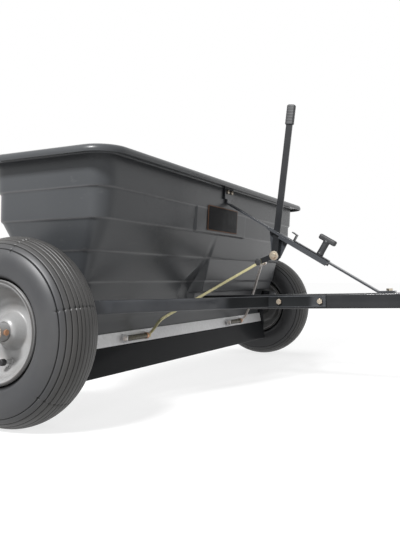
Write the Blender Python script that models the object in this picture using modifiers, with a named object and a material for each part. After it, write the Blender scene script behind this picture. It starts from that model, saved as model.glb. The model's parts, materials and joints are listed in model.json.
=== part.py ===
"""Tow-behind drop spreader.

A long hopper rides on two pneumatic wheels and is towed by a square tube.
The near wheel drives the axle, which turns the agitator blades in the hopper.
A lever on the strut slides the closure plate under the metering holes through
two bent links, and a stop with a T-shaped knob limits how far the lever opens.

Metres, +Z up.  X runs along the axle (near side at -X), the tongue points to -Y.
All chassis pieces are placed from the middle of the axle.  The object's origin
is on the ground, under the middle of its length.
"""
import math

import bmesh
import bpy
from mathutils import Matrix, Vector

# Clearances
FIT = 0.0003              # between pieces that touch
RUN = 0.0005              # radial, between a shaft and what turns on it
BOLT_FIT = 0.0005         # radial, between a bolt and its hole

# Wheels and axle
TYRE_DIAMETER = 0.3302
TYRE_WIDTH = 0.111
TYRE_WALL = 0.009
TYRE_SECTION_HEIGHT = 0.094
TYRE_SQUARENESS = 2.1     # 2 is an ellipse
WHEEL_OUTSET = 0.06575    # wheel's middle beyond the hopper's wall
BEAD_RADIUS = 0.0762
RIM_FLANGE_RADIUS = 0.0891
RIM_WIDTH = 0.095
RIM_SHEET = 0.0024
RIM_BEND = 0.003
DROP_CENTRE_RADIUS = 0.0665
HUB_RADIUS = 0.016
HUB_LENGTH = 0.090
DOME_RADIUS = 0.030
DOME_DEPTH = 0.024
AXLE_RADIUS = 0.0095
AXLE_OVERHANG = 0.012     # axle beyond the outer wheel washer
WASHER_RADIUS = 0.0165
WASHER_THICKNESS = 0.0025
COTTER_RADIUS = 0.0016
DRIVE_BOLT_INSET = 0.009  # from the hub's outer end
VALVE_RADIUS = 0.0045
VALVE_CIRCLE = 0.052

# Hopper, heights above the axle
HOPPER_TOP = 0.3303
HOPPER_WALL = 0.004
TROUGH_BOTTOM = -0.0445
TROUGH_END_INSET = 0.0545 # trough's end inside the hopper's wall
TROUGH_HALF_DEPTH = 0.0345
HOPPER_HALF_LENGTH = 0.5345
HOPPER_HALF_DEPTH = 0.1405
RIM_OVERHANG = 0.0325
RIM_LIP_HEIGHT = 0.015
RIM_SLOPE_HEIGHT = 0.0045
RIM_CORNER_RADIUS = 0.060
HOPPER_CORNER_RADIUS = 0.040
TROUGH_CORNER_RADIUS = 0.012
STEP_HEIGHT = 0.002       # each moulded step in the wall
STEP_DEPTH = 0.0035
STEP_1_HEIGHT = 0.2584
STEP_2_HEIGHT = 0.2004
STEP_3_HEIGHT = 0.1419
STEP_4_HEIGHT = 0.0829
STEP_1_INSET = 0.0015     # wall's half depth above each step, short of the top's
STEP_2_INSET = 0.0095
STEP_3_INSET = 0.0430
STEP_4_INSET = 0.0705
STEP_2_END_INSET = 0.0045 # the same for the half length
BULGE_FOOT_HEIGHT = 0.058  # the front wall's far part stands out from here up to the third step
BULGE_FOOT = 0.020
BULGE_STEP_4 = 0.014
BULGE_STEP_3 = 0.002
BULGE_START_X = -0.075     # its slanted edge, from the near wall to the part that stands out
BULGE_EDGE_X = -0.045
STEP_3_END_INSET = 0.0225
STEP_4_END_INSET = 0.0390
STRAIGHT_END_TOP = 0.052  # the trough's ends stand upright to here
TROUGH_TOP = 0.003        # the trough's sides stand upright to here
FLOOR_SLOT_WIDTH = 0.030
FLOOR_SLOT_END = 0.022    # floor left at each end of the slot

# Metering plate and closure plate
PLATE_THICKNESS = 0.0016
METERING_HOLES = 19
METERING_END = 0.030      # trough beyond the last hole's middle
METERING_HOLE_LENGTH = 0.020
METERING_HOLE_WIDTH = 0.014
WINDOW_OVERRUN = 0.005    # cutters beyond the plate they cut
LIP_HEIGHT = 0.026
LIP_LEAN = 0.0050         # how far the lip's top leans back
LIP_REACH = 0.0090        # lip's foot in front of the trough
SHOULDER_RIVET_STEPS = (-7.5, -2.5, 2.5, 7.5)  # places along the row, in hole pitches
PLATE_RIVET_STEPS = (-8.5, -2.9, 2.9, 8.5)
PLATE_RIVET_RADIUS = 0.0018

# Agitator
AGITATOR_BLADES = 9
AGITATOR_PITCH = 0.100
AGITATOR_CLEARANCE = 0.0025   # between the blades and the trough
AGITATOR_SHOULDER = 0.0008    # blade beside its tube
AGITATOR_THICKNESS = 0.004
AGITATOR_TUBE = 0.0025    # wall of the tube that carries the blades

# End plates and deflector
END_PLATE = 0.003
END_PLATE_DROP = 0.104
END_PLATE_HALF_DEPTH = 0.050
END_PLATE_TOP = 0.050
EAR_NOSE = 0.013          # front ear beyond its stud
EAR_HEIGHT = 0.031
BUSH_RADIUS = 0.0135
BUSH_FLANGE_RADIUS = 0.019
BUSH_FLANGE = 0.003
BUSH_LAP = 0.003          # bush inside the hopper's wall
SHEET = 0.0015
DEFLECTOR_GAP = 0.0035    # below the closure plate
DEFLECTOR_HEIGHT = 0.051
DEFLECTOR_LEAN = 0.014
DEFLECTOR_FLANGE_DEPTH = 0.026

# Tongue, braces and hitch
TONGUE_WIDTH = 0.034
TONGUE_WALL = 0.002
TONGUE_SLOPE = math.radians(1.54)
TONGUE_HEIGHT = 0.0329    # centre above the axle, at TONGUE_DATUM
TONGUE_DATUM = -0.200
TONGUE_REAR = -0.078
TONGUE_FRONT = -0.905
BRACE_TUBE_RADIUS = 0.0098
BRACE_FLAT_HALF_HEIGHT = 0.0132
BRACE_FLAT_THICKNESS = 0.004
BRACE_FRONT = -0.397
BRACE_BEND = -0.2565
BRACE_BOLT_1 = -0.2845
BRACE_BOLT_2 = -0.384
BRACE_WALL_GAP = 0.003    # between the brace's rear end and the hopper's wall
BRACE_REAR_BOLT_INSET = 0.011
BRACE_REAR_FLAT = 0.026
BRACE_REAR_HEIGHT = 0.0361
BOLT_RADIUS = 0.004
BOLT_HEAD_RADIUS = 0.0075
BOLT_HEAD = 0.005
BOLT_NUT = 0.0055
BOLT_TAIL = 0.004
SMALL_BOLT_RADIUS = 0.003
SMALL_HEAD_RADIUS = 0.0055
SMALL_HEAD = 0.0035
STUD_SINK = 0.0005        # head of a pressed-in stud, sunk in its plate
HITCH_PLATE = 0.005
HITCH_PLATE_WIDTH = 0.040
HITCH_PLATE_LAP = 0.080
HITCH_REACH = 0.045       # plates beyond the tongue, to the pin
HITCH_NOSE = 0.020        # plate in front of the pin's centre
HITCH_PIN_RADIUS = 0.0063
HITCH_PIN_GRIP = 0.016
HITCH_PIN_TAIL = 0.018
HITCH_RING_RADIUS = 0.016
CLIP_WIRE_RADIUS = 0.0014

# Strut and gauge channel
STRUT_WIDTH = 0.025
STRUT_THICKNESS = 0.004
STRUT_SLOPE = math.radians(30.84)
STRUT_DATUM_Y = -0.340    # a point on the strut's upper face
STRUT_DATUM_Z = 0.1667
STRUT_TOP = 0.3215
STRUT_HEAD_WIDTH = 0.052
STRUT_HEAD_HEIGHT = 0.030
STRUT_BOLT_SPACING = 0.023
STRUT_BOLT_DROP = 0.011
FOOT_LENGTH = 0.0365
FOOT_BOLT_INSET = 0.0125
CHANNEL_SHEET = 0.0025
CHANNEL_HEIGHT = 0.008
CHANNEL_REAR = -0.2865
CHANNEL_FRONT = -0.4015
GUSSET_FRONT = -0.304
GUSSET_REAR = -0.254
LEVER_SLOT_REAR = -0.250
LEVER_SLOT_FRONT = -0.314
CHANNEL_RIVET = -0.340    # flush rivet between the channel and the strut, under the stop
STOP_SLOT_END = 0.001     # slot beyond the stop bolt at each end of its travel
SLOT_SIDE_CLEARANCE = 0.003

# Lever and its pivot
LEVER_THICKNESS = 0.005
LEVER_WIDTH = 0.016
LEVER_X = -0.002
PIVOT_Y = -0.267
PIVOT_HEIGHT = 0.146
LEVER_LENGTH = 0.372
LEVER_TILT = math.radians(7.8)
LEVER_TRAVEL = math.radians(26.0)
LEVER_BOSS_RADIUS = 0.0115
ARM_LENGTH = 0.0428
ARM_ANGLE = math.radians(-20.6)
ARM_WIDTH = 0.0125
GRIP_LENGTH = 0.050
GRIP_WIDTH = 0.0215
GRIP_THICKNESS = 0.0115
PIVOT_WASHER_RADIUS = 0.0112
PIVOT_WASHER = 0.0016

# Links and their brackets
LINK_WIDTH = 0.0065
LINK_SHEET = 0.003
LINK_EYE_FLAT = 0.009
LINK_LOWER_FLAT = 0.0184
LINK_KNEE_DROP = 0.0534    # knee above the lower eye, along the link
LINK_EYE_WALL = 0.003
LINK_EYE_STEP = 0.0001    # eye face below the strip's face
LINK_PIN_RADIUS = 0.003
LINK_EYE_SLACK = 0.0020   # the open pivot's radial play
NEAR_LINK_X = -0.2335
FAR_LINK_X = 0.2985
NEAR_LINK_KNEE_X = -0.2460
FAR_LINK_KNEE_X = 0.2624
LINK_PIN_SHOULDER = 0.0275    # holds the far link off the lever's arm
LINK_PIN_SHOULDER_RADIUS = 0.0055
LINK_BOLT_STANDOFF = 0.0085
LINK_BOLT_DROP = 0.0135   # below the lip's top edge
BRACKET_LENGTH = 0.088
BRACKET_HEIGHT = 0.018
BRACKET_SHEET = 0.002
BRACKET_EAR_REACH = 0.0135
SLEEVE_RADIUS = 0.0060

# Flow stop and knob
STOP_WIDTH = 0.014
STOP_SHEET = 0.0025
STOP_REAR = -0.3165
STOP_FRONT = -0.4025
STOP_HOOK_HEIGHT = 0.015
STOP_HOOK_LENGTH = 0.012
KNOB_Y = -0.3781
KNOB_POST_RADIUS = 0.0085
KNOB_POST_HEIGHT = 0.034
KNOB_BAR_LENGTH = 0.045
KNOB_BAR_WIDTH = 0.0145
KNOB_BAR_HEIGHT = 0.0135
STOP_REARWARD = 0.020     # how far the stop slides back towards the lever
STOP_FORWARD = 0.010

# Facets
WHEEL_STEPS = 28
ROUND_SIDES = 16
BOLT_SIDES = 6

# Places that follow from the sizes above
TROUGH_HALF_LENGTH = HOPPER_HALF_LENGTH - TROUGH_END_INSET
WHEEL_X = HOPPER_HALF_LENGTH + WHEEL_OUTSET
METERING_PITCH = 2 * (TROUGH_HALF_LENGTH - METERING_END) / (METERING_HOLES - 1)
SHOULDER_RIVETS = [METERING_PITCH * step for step in SHOULDER_RIVET_STEPS]
PLATE_RIVETS = [METERING_PITCH * step for step in PLATE_RIVET_STEPS]
AXLE_HEIGHT = TYRE_DIAMETER / 2
HITCH_NOSE_Y = (TONGUE_FRONT - (HITCH_REACH + HITCH_NOSE) * math.cos(TONGUE_SLOPE)
                - (TONGUE_WIDTH / 2 + FIT + HITCH_PLATE) * math.sin(TONGUE_SLOPE))
REAR_Y = HOPPER_HALF_DEPTH + RIM_OVERHANG
AXLE_Y = -(HITCH_NOSE_Y + REAR_Y) / 2
AGITATOR_RADIUS = TROUGH_HALF_DEPTH - HOPPER_WALL - AGITATOR_CLEARANCE
AGITATOR_WIDTH = 2 * (AXLE_RADIUS + FIT + AGITATOR_TUBE + AGITATOR_SHOULDER)
END_PLATE_INNER = TROUGH_HALF_LENGTH + FIT
END_PLATE_OUTER = END_PLATE_INNER + END_PLATE
HUB_INNER = WHEEL_X - HUB_LENGTH / 2
HUB_OUTER = WHEEL_X + HUB_LENGTH / 2
AXLE_HALF_LENGTH = HUB_OUTER + FIT + WASHER_THICKNESS + AXLE_OVERHANG
METERING_TOP = TROUGH_BOTTOM - FIT
METERING_BOTTOM = METERING_TOP - PLATE_THICKNESS
CLOSURE_TOP = METERING_BOTTOM - FIT
CLOSURE_BOTTOM = CLOSURE_TOP - PLATE_THICKNESS
LIP_FOOT_Y = -(TROUGH_HALF_DEPTH + LIP_REACH)
LIP_TOP = CLOSURE_BOTTOM + LIP_HEIGHT
DEFLECTOR_TOP = CLOSURE_BOTTOM - DEFLECTOR_GAP
STRUT_DIRECTION = Vector((0, -math.cos(STRUT_SLOPE), -math.sin(STRUT_SLOPE)))
STRUT_NORMAL = Vector((0, -math.sin(STRUT_SLOPE), math.cos(STRUT_SLOPE)))
STRUT_POINT = Vector((0, STRUT_DATUM_Y, STRUT_DATUM_Z))
PIVOT = Vector((0, PIVOT_Y, PIVOT_HEIGHT))
ARM_END = PIVOT + ARM_LENGTH * Vector((0, math.cos(ARM_ANGLE), math.sin(ARM_ANGLE)))
ARM_OPEN_ANGLE = ARM_ANGLE + LEVER_TRAVEL
ARM_OPEN = PIVOT + ARM_LENGTH * Vector((0, math.cos(ARM_OPEN_ANGLE), math.sin(ARM_OPEN_ANGLE)))
LEVER_NEAR = LEVER_X - LEVER_THICKNESS / 2
LEVER_FAR = LEVER_X + LEVER_THICKNESS / 2


def material(name, color, roughness, metallic):
    """A Principled material with one colour, for one piece."""
    result = bpy.data.materials.new(name)
    result.use_nodes = True
    shader = result.node_tree.nodes["Principled BSDF"]
    shader.inputs["Base Color"].default_value = (*color, 1.0)
    shader.inputs["Roughness"].default_value = roughness
    shader.inputs["Metallic"].default_value = metallic
    return result


# Finish names stand for a colour, a roughness and a metallic value
FINISHES = {
    "black_poly": ((0.085, 0.088, 0.092), 0.45, 0.0),
    "black_paint": ((0.035, 0.037, 0.040), 0.35, 0.0),
    "black_plastic": ((0.060, 0.060, 0.064), 0.5, 0.0),
    "tyre_rubber": ((0.100, 0.098, 0.095), 0.65, 0.0),
    "rim_silver": ((0.60, 0.60, 0.60), 0.35, 0.6),
    "galvanised": ((0.48, 0.48, 0.48), 0.4, 0.7),
    "bare_steel": ((0.40, 0.40, 0.41), 0.4, 0.9),
    "yellow_zinc": ((0.72, 0.66, 0.36), 0.35, 0.8),
    "bright_zinc": ((0.62, 0.58, 0.52), 0.35, 0.8),
    "white_nylon": ((0.70, 0.69, 0.66), 0.5, 0.0),
}


def clear_scene():
    """Start from an empty file."""
    for thing in list(bpy.data.objects):
        bpy.data.objects.remove(thing, do_unlink=True)


def new_collection(name):
    """A collection linked to the scene."""
    result = bpy.data.collections.new(name)
    bpy.context.scene.collection.children.link(result)
    return result


clear_scene()
PARTS = new_collection("drop_spreader")
CUTTERS = new_collection("cutters")


def empty(name, place, parent=None):
    """An empty at a point given from the middle of the axle."""
    result = bpy.data.objects.new(name, None)
    result.empty_display_size = 0.03
    PARTS.objects.link(result)
    if parent is None:
        result.location = place
    else:
        result.parent = parent
        result.location = Vector(place) - Vector(parent["from_axle"])
    result["from_axle"] = [0.0, 0.0, 0.0] if parent is None else list(place)
    return result


CHASSIS = empty("chassis", (0, AXLE_Y, AXLE_HEIGHT))


def finish(obj, name, finish_name, parent=None):
    """Name a piece, give it its own material and hang it on its carrier."""
    parent = parent or CHASSIS
    obj.name = name
    obj.data.name = name
    obj.data.materials.clear()
    obj.data.materials.append(material(name, *FINISHES[finish_name]))
    for collection in list(obj.users_collection):
        collection.objects.unlink(obj)
    PARTS.objects.link(obj)
    obj.parent = parent
    obj.location = Vector(obj.location) - Vector(parent["from_axle"])
    return obj


def as_cutter(obj, name):
    """Put a shape among the cutters, carried by the chassis."""
    obj.name = name
    for collection in list(obj.users_collection):
        collection.objects.unlink(obj)
    CUTTERS.objects.link(obj)
    obj.parent = CHASSIS
    obj.hide_render = True
    obj.display_type = 'WIRE'
    return obj


def cut(obj, cutter, operation='DIFFERENCE'):
    """Cut a shape out of a piece, or join it on."""
    step = obj.modifiers.new(cutter.name, 'BOOLEAN')
    step.operation = operation
    step.object = cutter
    step.solver = 'EXACT'
    return step


def from_bmesh(mesh_data, name="shape"):
    """A new object from a bmesh, with its normals pointing out."""
    bmesh.ops.recalc_face_normals(mesh_data, faces=mesh_data.faces)
    mesh = bpy.data.meshes.new(name)
    mesh_data.to_mesh(mesh)
    mesh_data.free()
    obj = bpy.data.objects.new(name, mesh)
    bpy.context.scene.collection.objects.link(obj)
    return obj


def box_between(low, high):
    """A box between two corners."""
    low, high = Vector(low), Vector(high)
    data = bmesh.new()
    bmesh.ops.create_cube(data, size=1.0)
    place = Matrix.Translation((low + high) / 2) @ Matrix.Diagonal((*(high - low), 1))
    bmesh.ops.transform(data, matrix=place, verts=data.verts)
    return from_bmesh(data)


def boxes(corners):
    """Several separate boxes in one mesh, for cutting a row of holes."""
    data = bmesh.new()
    for low, high in corners:
        low, high = Vector(low), Vector(high)
        made = bmesh.ops.create_cube(data, size=1.0)
        place = Matrix.Translation((low + high) / 2) @ Matrix.Diagonal((*(high - low), 1))
        bmesh.ops.transform(data, matrix=place, verts=made["verts"])
    return from_bmesh(data)


def axis_matrix(direction):
    """A turn that takes +Z to a direction."""
    return Vector(direction).to_track_quat('Z', 'Y').to_matrix().to_4x4()


def cylinders(rods, sides=ROUND_SIDES):
    """Closed rods in one mesh, each given by two end points and a radius."""
    data = bmesh.new()
    for start, end, radius in rods:
        start, end = Vector(start), Vector(end)
        made = bmesh.ops.create_cone(data, cap_ends=True, segments=sides, radius1=radius,
                                     radius2=radius, depth=(end - start).length)
        place = Matrix.Translation((start + end) / 2) @ axis_matrix(end - start)
        bmesh.ops.transform(data, matrix=place, verts=made["verts"])
    return from_bmesh(data)


def loft(rings, closed=False):
    """A closed solid through rings of equal count, capped unless it closes on itself."""
    data = bmesh.new()
    made = [[data.verts.new(point) for point in ring] for ring in rings]
    pairs = list(zip(made, made[1:]))
    if closed:
        pairs.append((made[-1], made[0]))
    for lower, upper in pairs:
        count = len(lower)
        for i in range(count):
            j = (i + 1) % count
            data.faces.new((lower[i], lower[j], upper[j], upper[i]))
    if not closed:
        data.faces.new(made[0])
        data.faces.new(made[-1])
    return from_bmesh(data)


def turned(profile, steps, centre, side):
    """Turn a closed (offset, radius) profile about X; side +1 or -1 points the offset outwards."""
    rings = []
    for i in range(steps):
        angle = 2 * math.pi * i / steps - math.pi / 2
        ring = []
        for offset, radius in profile:
            ring.append((centre + side * offset, radius * math.cos(angle), radius * math.sin(angle)))
        rings.append(ring)
    return loft(rings, closed=True)


def screwed_sheet(profile, thickness, steps, centre, side):
    """A turned sheet: an open (offset, radius) line, a Screw about Z and a Solidify, laid along X."""
    mesh = bpy.data.meshes.new("sheet")
    points = [(radius, 0.0, offset) for offset, radius in reversed(profile)]
    mesh.from_pydata(points, [(i, i + 1) for i in range(len(points) - 1)], [])
    obj = bpy.data.objects.new("sheet", mesh)
    bpy.context.scene.collection.objects.link(obj)
    screw = obj.modifiers.new("Screw", 'SCREW')
    screw.steps = steps
    screw.render_steps = steps
    screw.use_merge_vertices = True
    screw.merge_threshold = 0.00001
    wall = obj.modifiers.new("Solidify", 'SOLIDIFY')
    wall.thickness = thickness
    wall.offset = 0.0
    made = bpy.data.meshes.new_from_object(obj.evaluated_get(bpy.context.evaluated_depsgraph_get()))
    bpy.data.objects.remove(obj)
    data = bmesh.new()
    data.from_mesh(made)
    lay = Matrix.Translation((centre, 0, 0)) @ Matrix.Rotation(side * math.pi / 2, 4, 'Y')
    bmesh.ops.transform(data, matrix=lay, verts=data.verts)
    return from_bmesh(data)


def circle_points(centre, radius, count):
    """Points round a circle in a flat outline's own plane."""
    points = []
    for i in range(count):
        angle = 2 * math.pi * i / count
        points.append((centre[0] + radius * math.cos(angle), centre[1] + radius * math.sin(angle)))
    return points


def rectangle_points(low, high):
    """The corners of a rectangle in a flat outline's own plane."""
    return [(low[0], low[1]), (high[0], low[1]), (high[0], high[1]), (low[0], high[1])]


def flat_plate(outline, thickness, place, holes=()):
    """A flat plate: a filled 2D curve with holes, extruded about its own plane, then placed."""
    curve = bpy.data.curves.new("outline", 'CURVE')
    curve.dimensions = '2D'
    curve.fill_mode = 'BOTH'
    curve.extrude = thickness / 2
    for ring in (outline, *holes):
        spline = curve.splines.new('POLY')
        spline.points.add(len(ring) - 1)
        for point, (x, y) in zip(spline.points, ring):
            point.co = (x, y, 0, 1)
        spline.use_cyclic_u = True
    obj = bpy.data.objects.new("outline", curve)
    bpy.context.scene.collection.objects.link(obj)
    made = bpy.data.meshes.new_from_object(obj.evaluated_get(bpy.context.evaluated_depsgraph_get()))
    bpy.data.objects.remove(obj)
    data = bmesh.new()
    data.from_mesh(made)
    bmesh.ops.remove_doubles(data, verts=data.verts, dist=0.00001)
    bmesh.ops.transform(data, matrix=place, verts=data.verts)
    return from_bmesh(data)


def facing(x_axis, y_axis, centre):
    """A placement whose plane holds two directions, with its middle at a point."""
    x_axis, y_axis = Vector(x_axis).normalized(), Vector(y_axis).normalized()
    normal = x_axis.cross(y_axis)
    return Matrix.Translation(centre) @ Matrix((x_axis, y_axis, normal)).transposed().to_4x4()


def side_plate(outline, thickness, x, holes=()):
    """A plate that stands across X, with its outline given in (y, z)."""
    return flat_plate(outline, thickness, facing((0, 1, 0), (0, 0, 1), (x, 0, 0)), holes)


def offset_line(points, distance):
    """An open line moved to its left by a distance, mitred at its bends."""
    moved = []
    for i, point in enumerate(points):
        before = Vector(points[max(i - 1, 0)])
        after = Vector(points[min(i + 1, len(points) - 1)])
        here = Vector(point)
        first = (here - before).normalized() if i > 0 else (after - here).normalized()
        second = (after - here).normalized() if i < len(points) - 1 else first
        normal_1 = Vector((-first.y, first.x))
        normal_2 = Vector((-second.y, second.x))
        middle = (normal_1 + normal_2).normalized()
        moved.append(tuple(here + middle * distance / max(middle.dot(normal_1), 0.3)))
    return moved


def thick_line(points, thickness):
    """The outline of a bent strip: an open line given a thickness to its left side."""
    return list(points) + offset_line(points, thickness)[::-1]


def centred_line(points, thickness):
    """The outline of a bent strip whose middle is an open line."""
    return offset_line(points, -thickness / 2) + offset_line(points, thickness / 2)[::-1]


def joined(first, second, name):
    """Weld a second shape onto a first with a union."""
    cut(first, as_cutter(second, name), 'UNION')
    return first


def bolt(start, end, radius=BOLT_RADIUS, head_radius=BOLT_HEAD_RADIUS, head=BOLT_HEAD,
         nut=BOLT_NUT, tail=BOLT_TAIL, sides=BOLT_SIDES):
    """A bolt as one lofted solid: head before the start, nut and thread end past the end."""
    start, end = Vector(start), Vector(end)
    axis = (end - start).normalized()
    turn = axis_matrix(axis).to_3x3()
    grip = (end - start).length
    stations = [(-FIT - head, head_radius), (-FIT, head_radius), (-FIT, radius)]
    if nut > 0:
        stations += [(grip + FIT, radius), (grip + FIT, head_radius),
                     (grip + FIT + nut, head_radius), (grip + FIT + nut, radius)]
        stations += [(grip + FIT + nut + tail, radius)]
    else:
        stations += [(grip, radius)]
    rings = []
    for along, size in stations:
        ring = []
        for i in range(sides):
            angle = 2 * math.pi * i / sides
            ring.append(start + axis * along + turn @ Vector((size * math.cos(angle),
                                                              size * math.sin(angle), 0)))
        rings.append(ring)
    return loft(rings)


def merged(shapes):
    """Several separate solids as one object, for a group of like pieces."""
    data = bmesh.new()
    for shape in shapes:
        data.from_mesh(shape.data)
        bpy.data.objects.remove(shape)
    return from_bmesh(data)


def stud(start, end, **sizes):
    """A fastener that is one body with the plate under its head, or at its plain end."""
    start, end = Vector(start), Vector(end)
    axis = (end - start).normalized()
    return bolt(start + axis * (FIT + STUD_SINK), end, **sizes)


def tongue_z(y):
    """Height of the tongue's centre line above the axle."""
    return TONGUE_HEIGHT + (TONGUE_DATUM - y) * math.tan(TONGUE_SLOPE)


def strut_z(y):
    """Height of the strut's upper face above the axle."""
    return STRUT_DATUM_Z + (y - STRUT_DATUM_Y) * math.tan(STRUT_SLOPE)


def strut_place(y, above):
    """A point at a distance above the strut's upper face, over the place y on it."""
    return Vector((0, y, strut_z(y))) + STRUT_NORMAL * above


def lip_y(z):
    """Front face of the closure plate's leaning lip."""
    return LIP_FOOT_Y + LIP_LEAN * (z - CLOSURE_BOTTOM) / LIP_HEIGHT


# Hopper

def rounded_ring(half_length, half_depth, radius, z, bulge=0.0):
    """A rounded rectangle at one height, as a ring of points; its far front part stands out by a bulge."""
    corner_steps = 4
    ring = []
    for quarter in range(4):
        sign_x = (1, -1, -1, 1)[quarter]
        sign_y = (1, 1, -1, -1)[quarter]
        for i in range(corner_steps + 1):
            angle = math.pi / 2 * (quarter + i / corner_steps)
            ring.append((sign_x * (half_length - radius) + radius * math.cos(angle),
                         sign_y * (half_depth - radius) + radius * math.sin(angle)
                         - (bulge if quarter == 3 else 0.0), z))
        if quarter == 2:
            ring += [(BULGE_START_X, -half_depth, z), (BULGE_EDGE_X, -half_depth - bulge, z)]
    return ring


def hopper_levels():
    """Outer wall stations from the trough up: half length, half depth, corner radius, height, bulge."""
    steps = [
        (STEP_4_END_INSET, STEP_4_INSET, STEP_4_HEIGHT, BULGE_STEP_4),
        (STEP_3_END_INSET, STEP_3_INSET, STEP_3_HEIGHT, BULGE_STEP_3),
        (STEP_2_END_INSET, STEP_2_INSET, STEP_2_HEIGHT, 0.0),
        (STEP_1_INSET / 3, STEP_1_INSET, STEP_1_HEIGHT, 0.0)]
    span = STEP_1_HEIGHT - TROUGH_TOP

    def corner(z):
        share = max(0.0, z - TROUGH_TOP) / span
        return TROUGH_CORNER_RADIUS + (HOPPER_CORNER_RADIUS - TROUGH_CORNER_RADIUS) * share

    first_depth = HOPPER_HALF_DEPTH - STEP_4_INSET - STEP_DEPTH
    share = (STRAIGHT_END_TOP - TROUGH_TOP) / (STEP_4_HEIGHT - TROUGH_TOP)
    end_top_depth = TROUGH_HALF_DEPTH + (first_depth - TROUGH_HALF_DEPTH) * share
    share = (BULGE_FOOT_HEIGHT - STRAIGHT_END_TOP) / (STEP_4_HEIGHT - STEP_HEIGHT / 2 - STRAIGHT_END_TOP)
    first_length = HOPPER_HALF_LENGTH - STEP_4_END_INSET - STEP_DEPTH
    levels = [(TROUGH_HALF_LENGTH, TROUGH_HALF_DEPTH, TROUGH_CORNER_RADIUS, TROUGH_BOTTOM, 0.0),
              (TROUGH_HALF_LENGTH, TROUGH_HALF_DEPTH, TROUGH_CORNER_RADIUS, TROUGH_TOP, 0.0),
              (TROUGH_HALF_LENGTH, end_top_depth, corner(STRAIGHT_END_TOP), STRAIGHT_END_TOP, 0.0),
              (TROUGH_HALF_LENGTH + (first_length - TROUGH_HALF_LENGTH) * share,
               end_top_depth + (first_depth - end_top_depth) * share, corner(BULGE_FOOT_HEIGHT),
               BULGE_FOOT_HEIGHT, BULGE_FOOT)]
    for end_inset, inset, height, bulge in steps:
        length, depth = HOPPER_HALF_LENGTH - end_inset, HOPPER_HALF_DEPTH - inset
        levels.append((length - STEP_DEPTH, depth - STEP_DEPTH, corner(height), height - STEP_HEIGHT / 2,
                       bulge))
        levels.append((length, depth, corner(height), height + STEP_HEIGHT / 2, bulge))
    return levels


def wall_depth(z):
    """Half depth of the hopper's outer wall at a height."""
    levels = hopper_levels()
    for lower, upper in zip(levels, levels[1:]):
        if lower[3] <= z <= upper[3]:
            share = (z - lower[3]) / (upper[3] - lower[3])
            return lower[1] + (upper[1] - lower[1]) * share
    return HOPPER_HALF_DEPTH


def make_hopper():
    """One moulded shell: stepped walls, an overhanging rim with a turned-down lip, a slotted floor."""
    outer = hopper_levels()
    rim_length = HOPPER_HALF_LENGTH + RIM_OVERHANG
    rim_depth = HOPPER_HALF_DEPTH + RIM_OVERHANG
    wall = HOPPER_WALL
    underside = HOPPER_TOP - wall - RIM_SLOPE_HEIGHT
    lip_bottom = HOPPER_TOP - RIM_LIP_HEIGHT
    rim = [
        (HOPPER_HALF_LENGTH + wall / 2, HOPPER_HALF_DEPTH + wall / 2, HOPPER_CORNER_RADIUS, underside),
        (rim_length - wall, rim_depth - wall, RIM_CORNER_RADIUS - wall, underside),
        (rim_length - wall, rim_depth - wall, RIM_CORNER_RADIUS - wall, lip_bottom),
        (rim_length, rim_depth, RIM_CORNER_RADIUS, lip_bottom),
        (rim_length, rim_depth, RIM_CORNER_RADIUS, HOPPER_TOP - RIM_SLOPE_HEIGHT),
        (rim_length - wall, rim_depth - wall, RIM_CORNER_RADIUS - wall, HOPPER_TOP),
        (HOPPER_HALF_LENGTH + wall / 2, HOPPER_HALF_DEPTH + wall / 2, HOPPER_CORNER_RADIUS, HOPPER_TOP),
        (HOPPER_HALF_LENGTH - wall / 2, HOPPER_HALF_DEPTH - wall / 2, HOPPER_CORNER_RADIUS - wall,
         HOPPER_TOP - RIM_SLOPE_HEIGHT),
    ]
    inner = [(length - wall, depth - wall, max(radius - wall, wall),
              z + wall if z == BULGE_FOOT_HEIGHT else z, bulge)
             for length, depth, radius, z, bulge in outer[1:]]
    floor_top = TROUGH_BOTTOM + wall
    inner.insert(0, (TROUGH_HALF_LENGTH - wall, TROUGH_HALF_DEPTH - wall,
                     max(TROUGH_CORNER_RADIUS - wall, wall), floor_top))
    rings = [rounded_ring(*level) for level in outer + rim + inner[::-1]]
    hopper = finish(loft(rings), "hopper", "black_poly")
    slot_length = TROUGH_HALF_LENGTH - FLOOR_SLOT_END
    slot = box_between((-slot_length, -FLOOR_SLOT_WIDTH / 2, TROUGH_BOTTOM - wall),
                       (slot_length, FLOOR_SLOT_WIDTH / 2, floor_top + wall))
    cut(hopper, as_cutter(slot, "floor_slot"))
    reach = TROUGH_HALF_LENGTH + 2 * wall
    bore = cylinders([((-reach, 0, 0), (reach, 0, 0), BUSH_RADIUS + FIT)], ROUND_SIDES)
    cut(hopper, as_cutter(bore, "hopper_axle_bore"))
    rods = []
    for x in (-STRUT_BOLT_SPACING / 2, STRUT_BOLT_SPACING / 2):
        z = STRUT_TOP - STRUT_BOLT_DROP
        rods.append(((x, -HOPPER_HALF_DEPTH - 0.02, z), (x, -HOPPER_HALF_DEPTH + 0.02, z),
                     SMALL_BOLT_RADIUS + BOLT_FIT))
    for side in (-1, 1):
        for y, z in end_plate_bolt_places():
            rods.append(((side * (reach + 0.005), y, z), (side * (reach - 0.02), y, z),
                         SMALL_BOLT_RADIUS + BOLT_FIT))
    cut(hopper, as_cutter(cylinders(rods, 8), "hopper_bolt_holes"))
    rods = []
    for x in PLATE_RIVETS:
        for y in plate_rivet_rows():
            rods.append(((x, y, TROUGH_BOTTOM - wall), (x, y, floor_top + wall),
                         PLATE_RIVET_RADIUS + BOLT_FIT))
    cut(hopper, as_cutter(cylinders(rods, 6), "hopper_floor_holes"))


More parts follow.
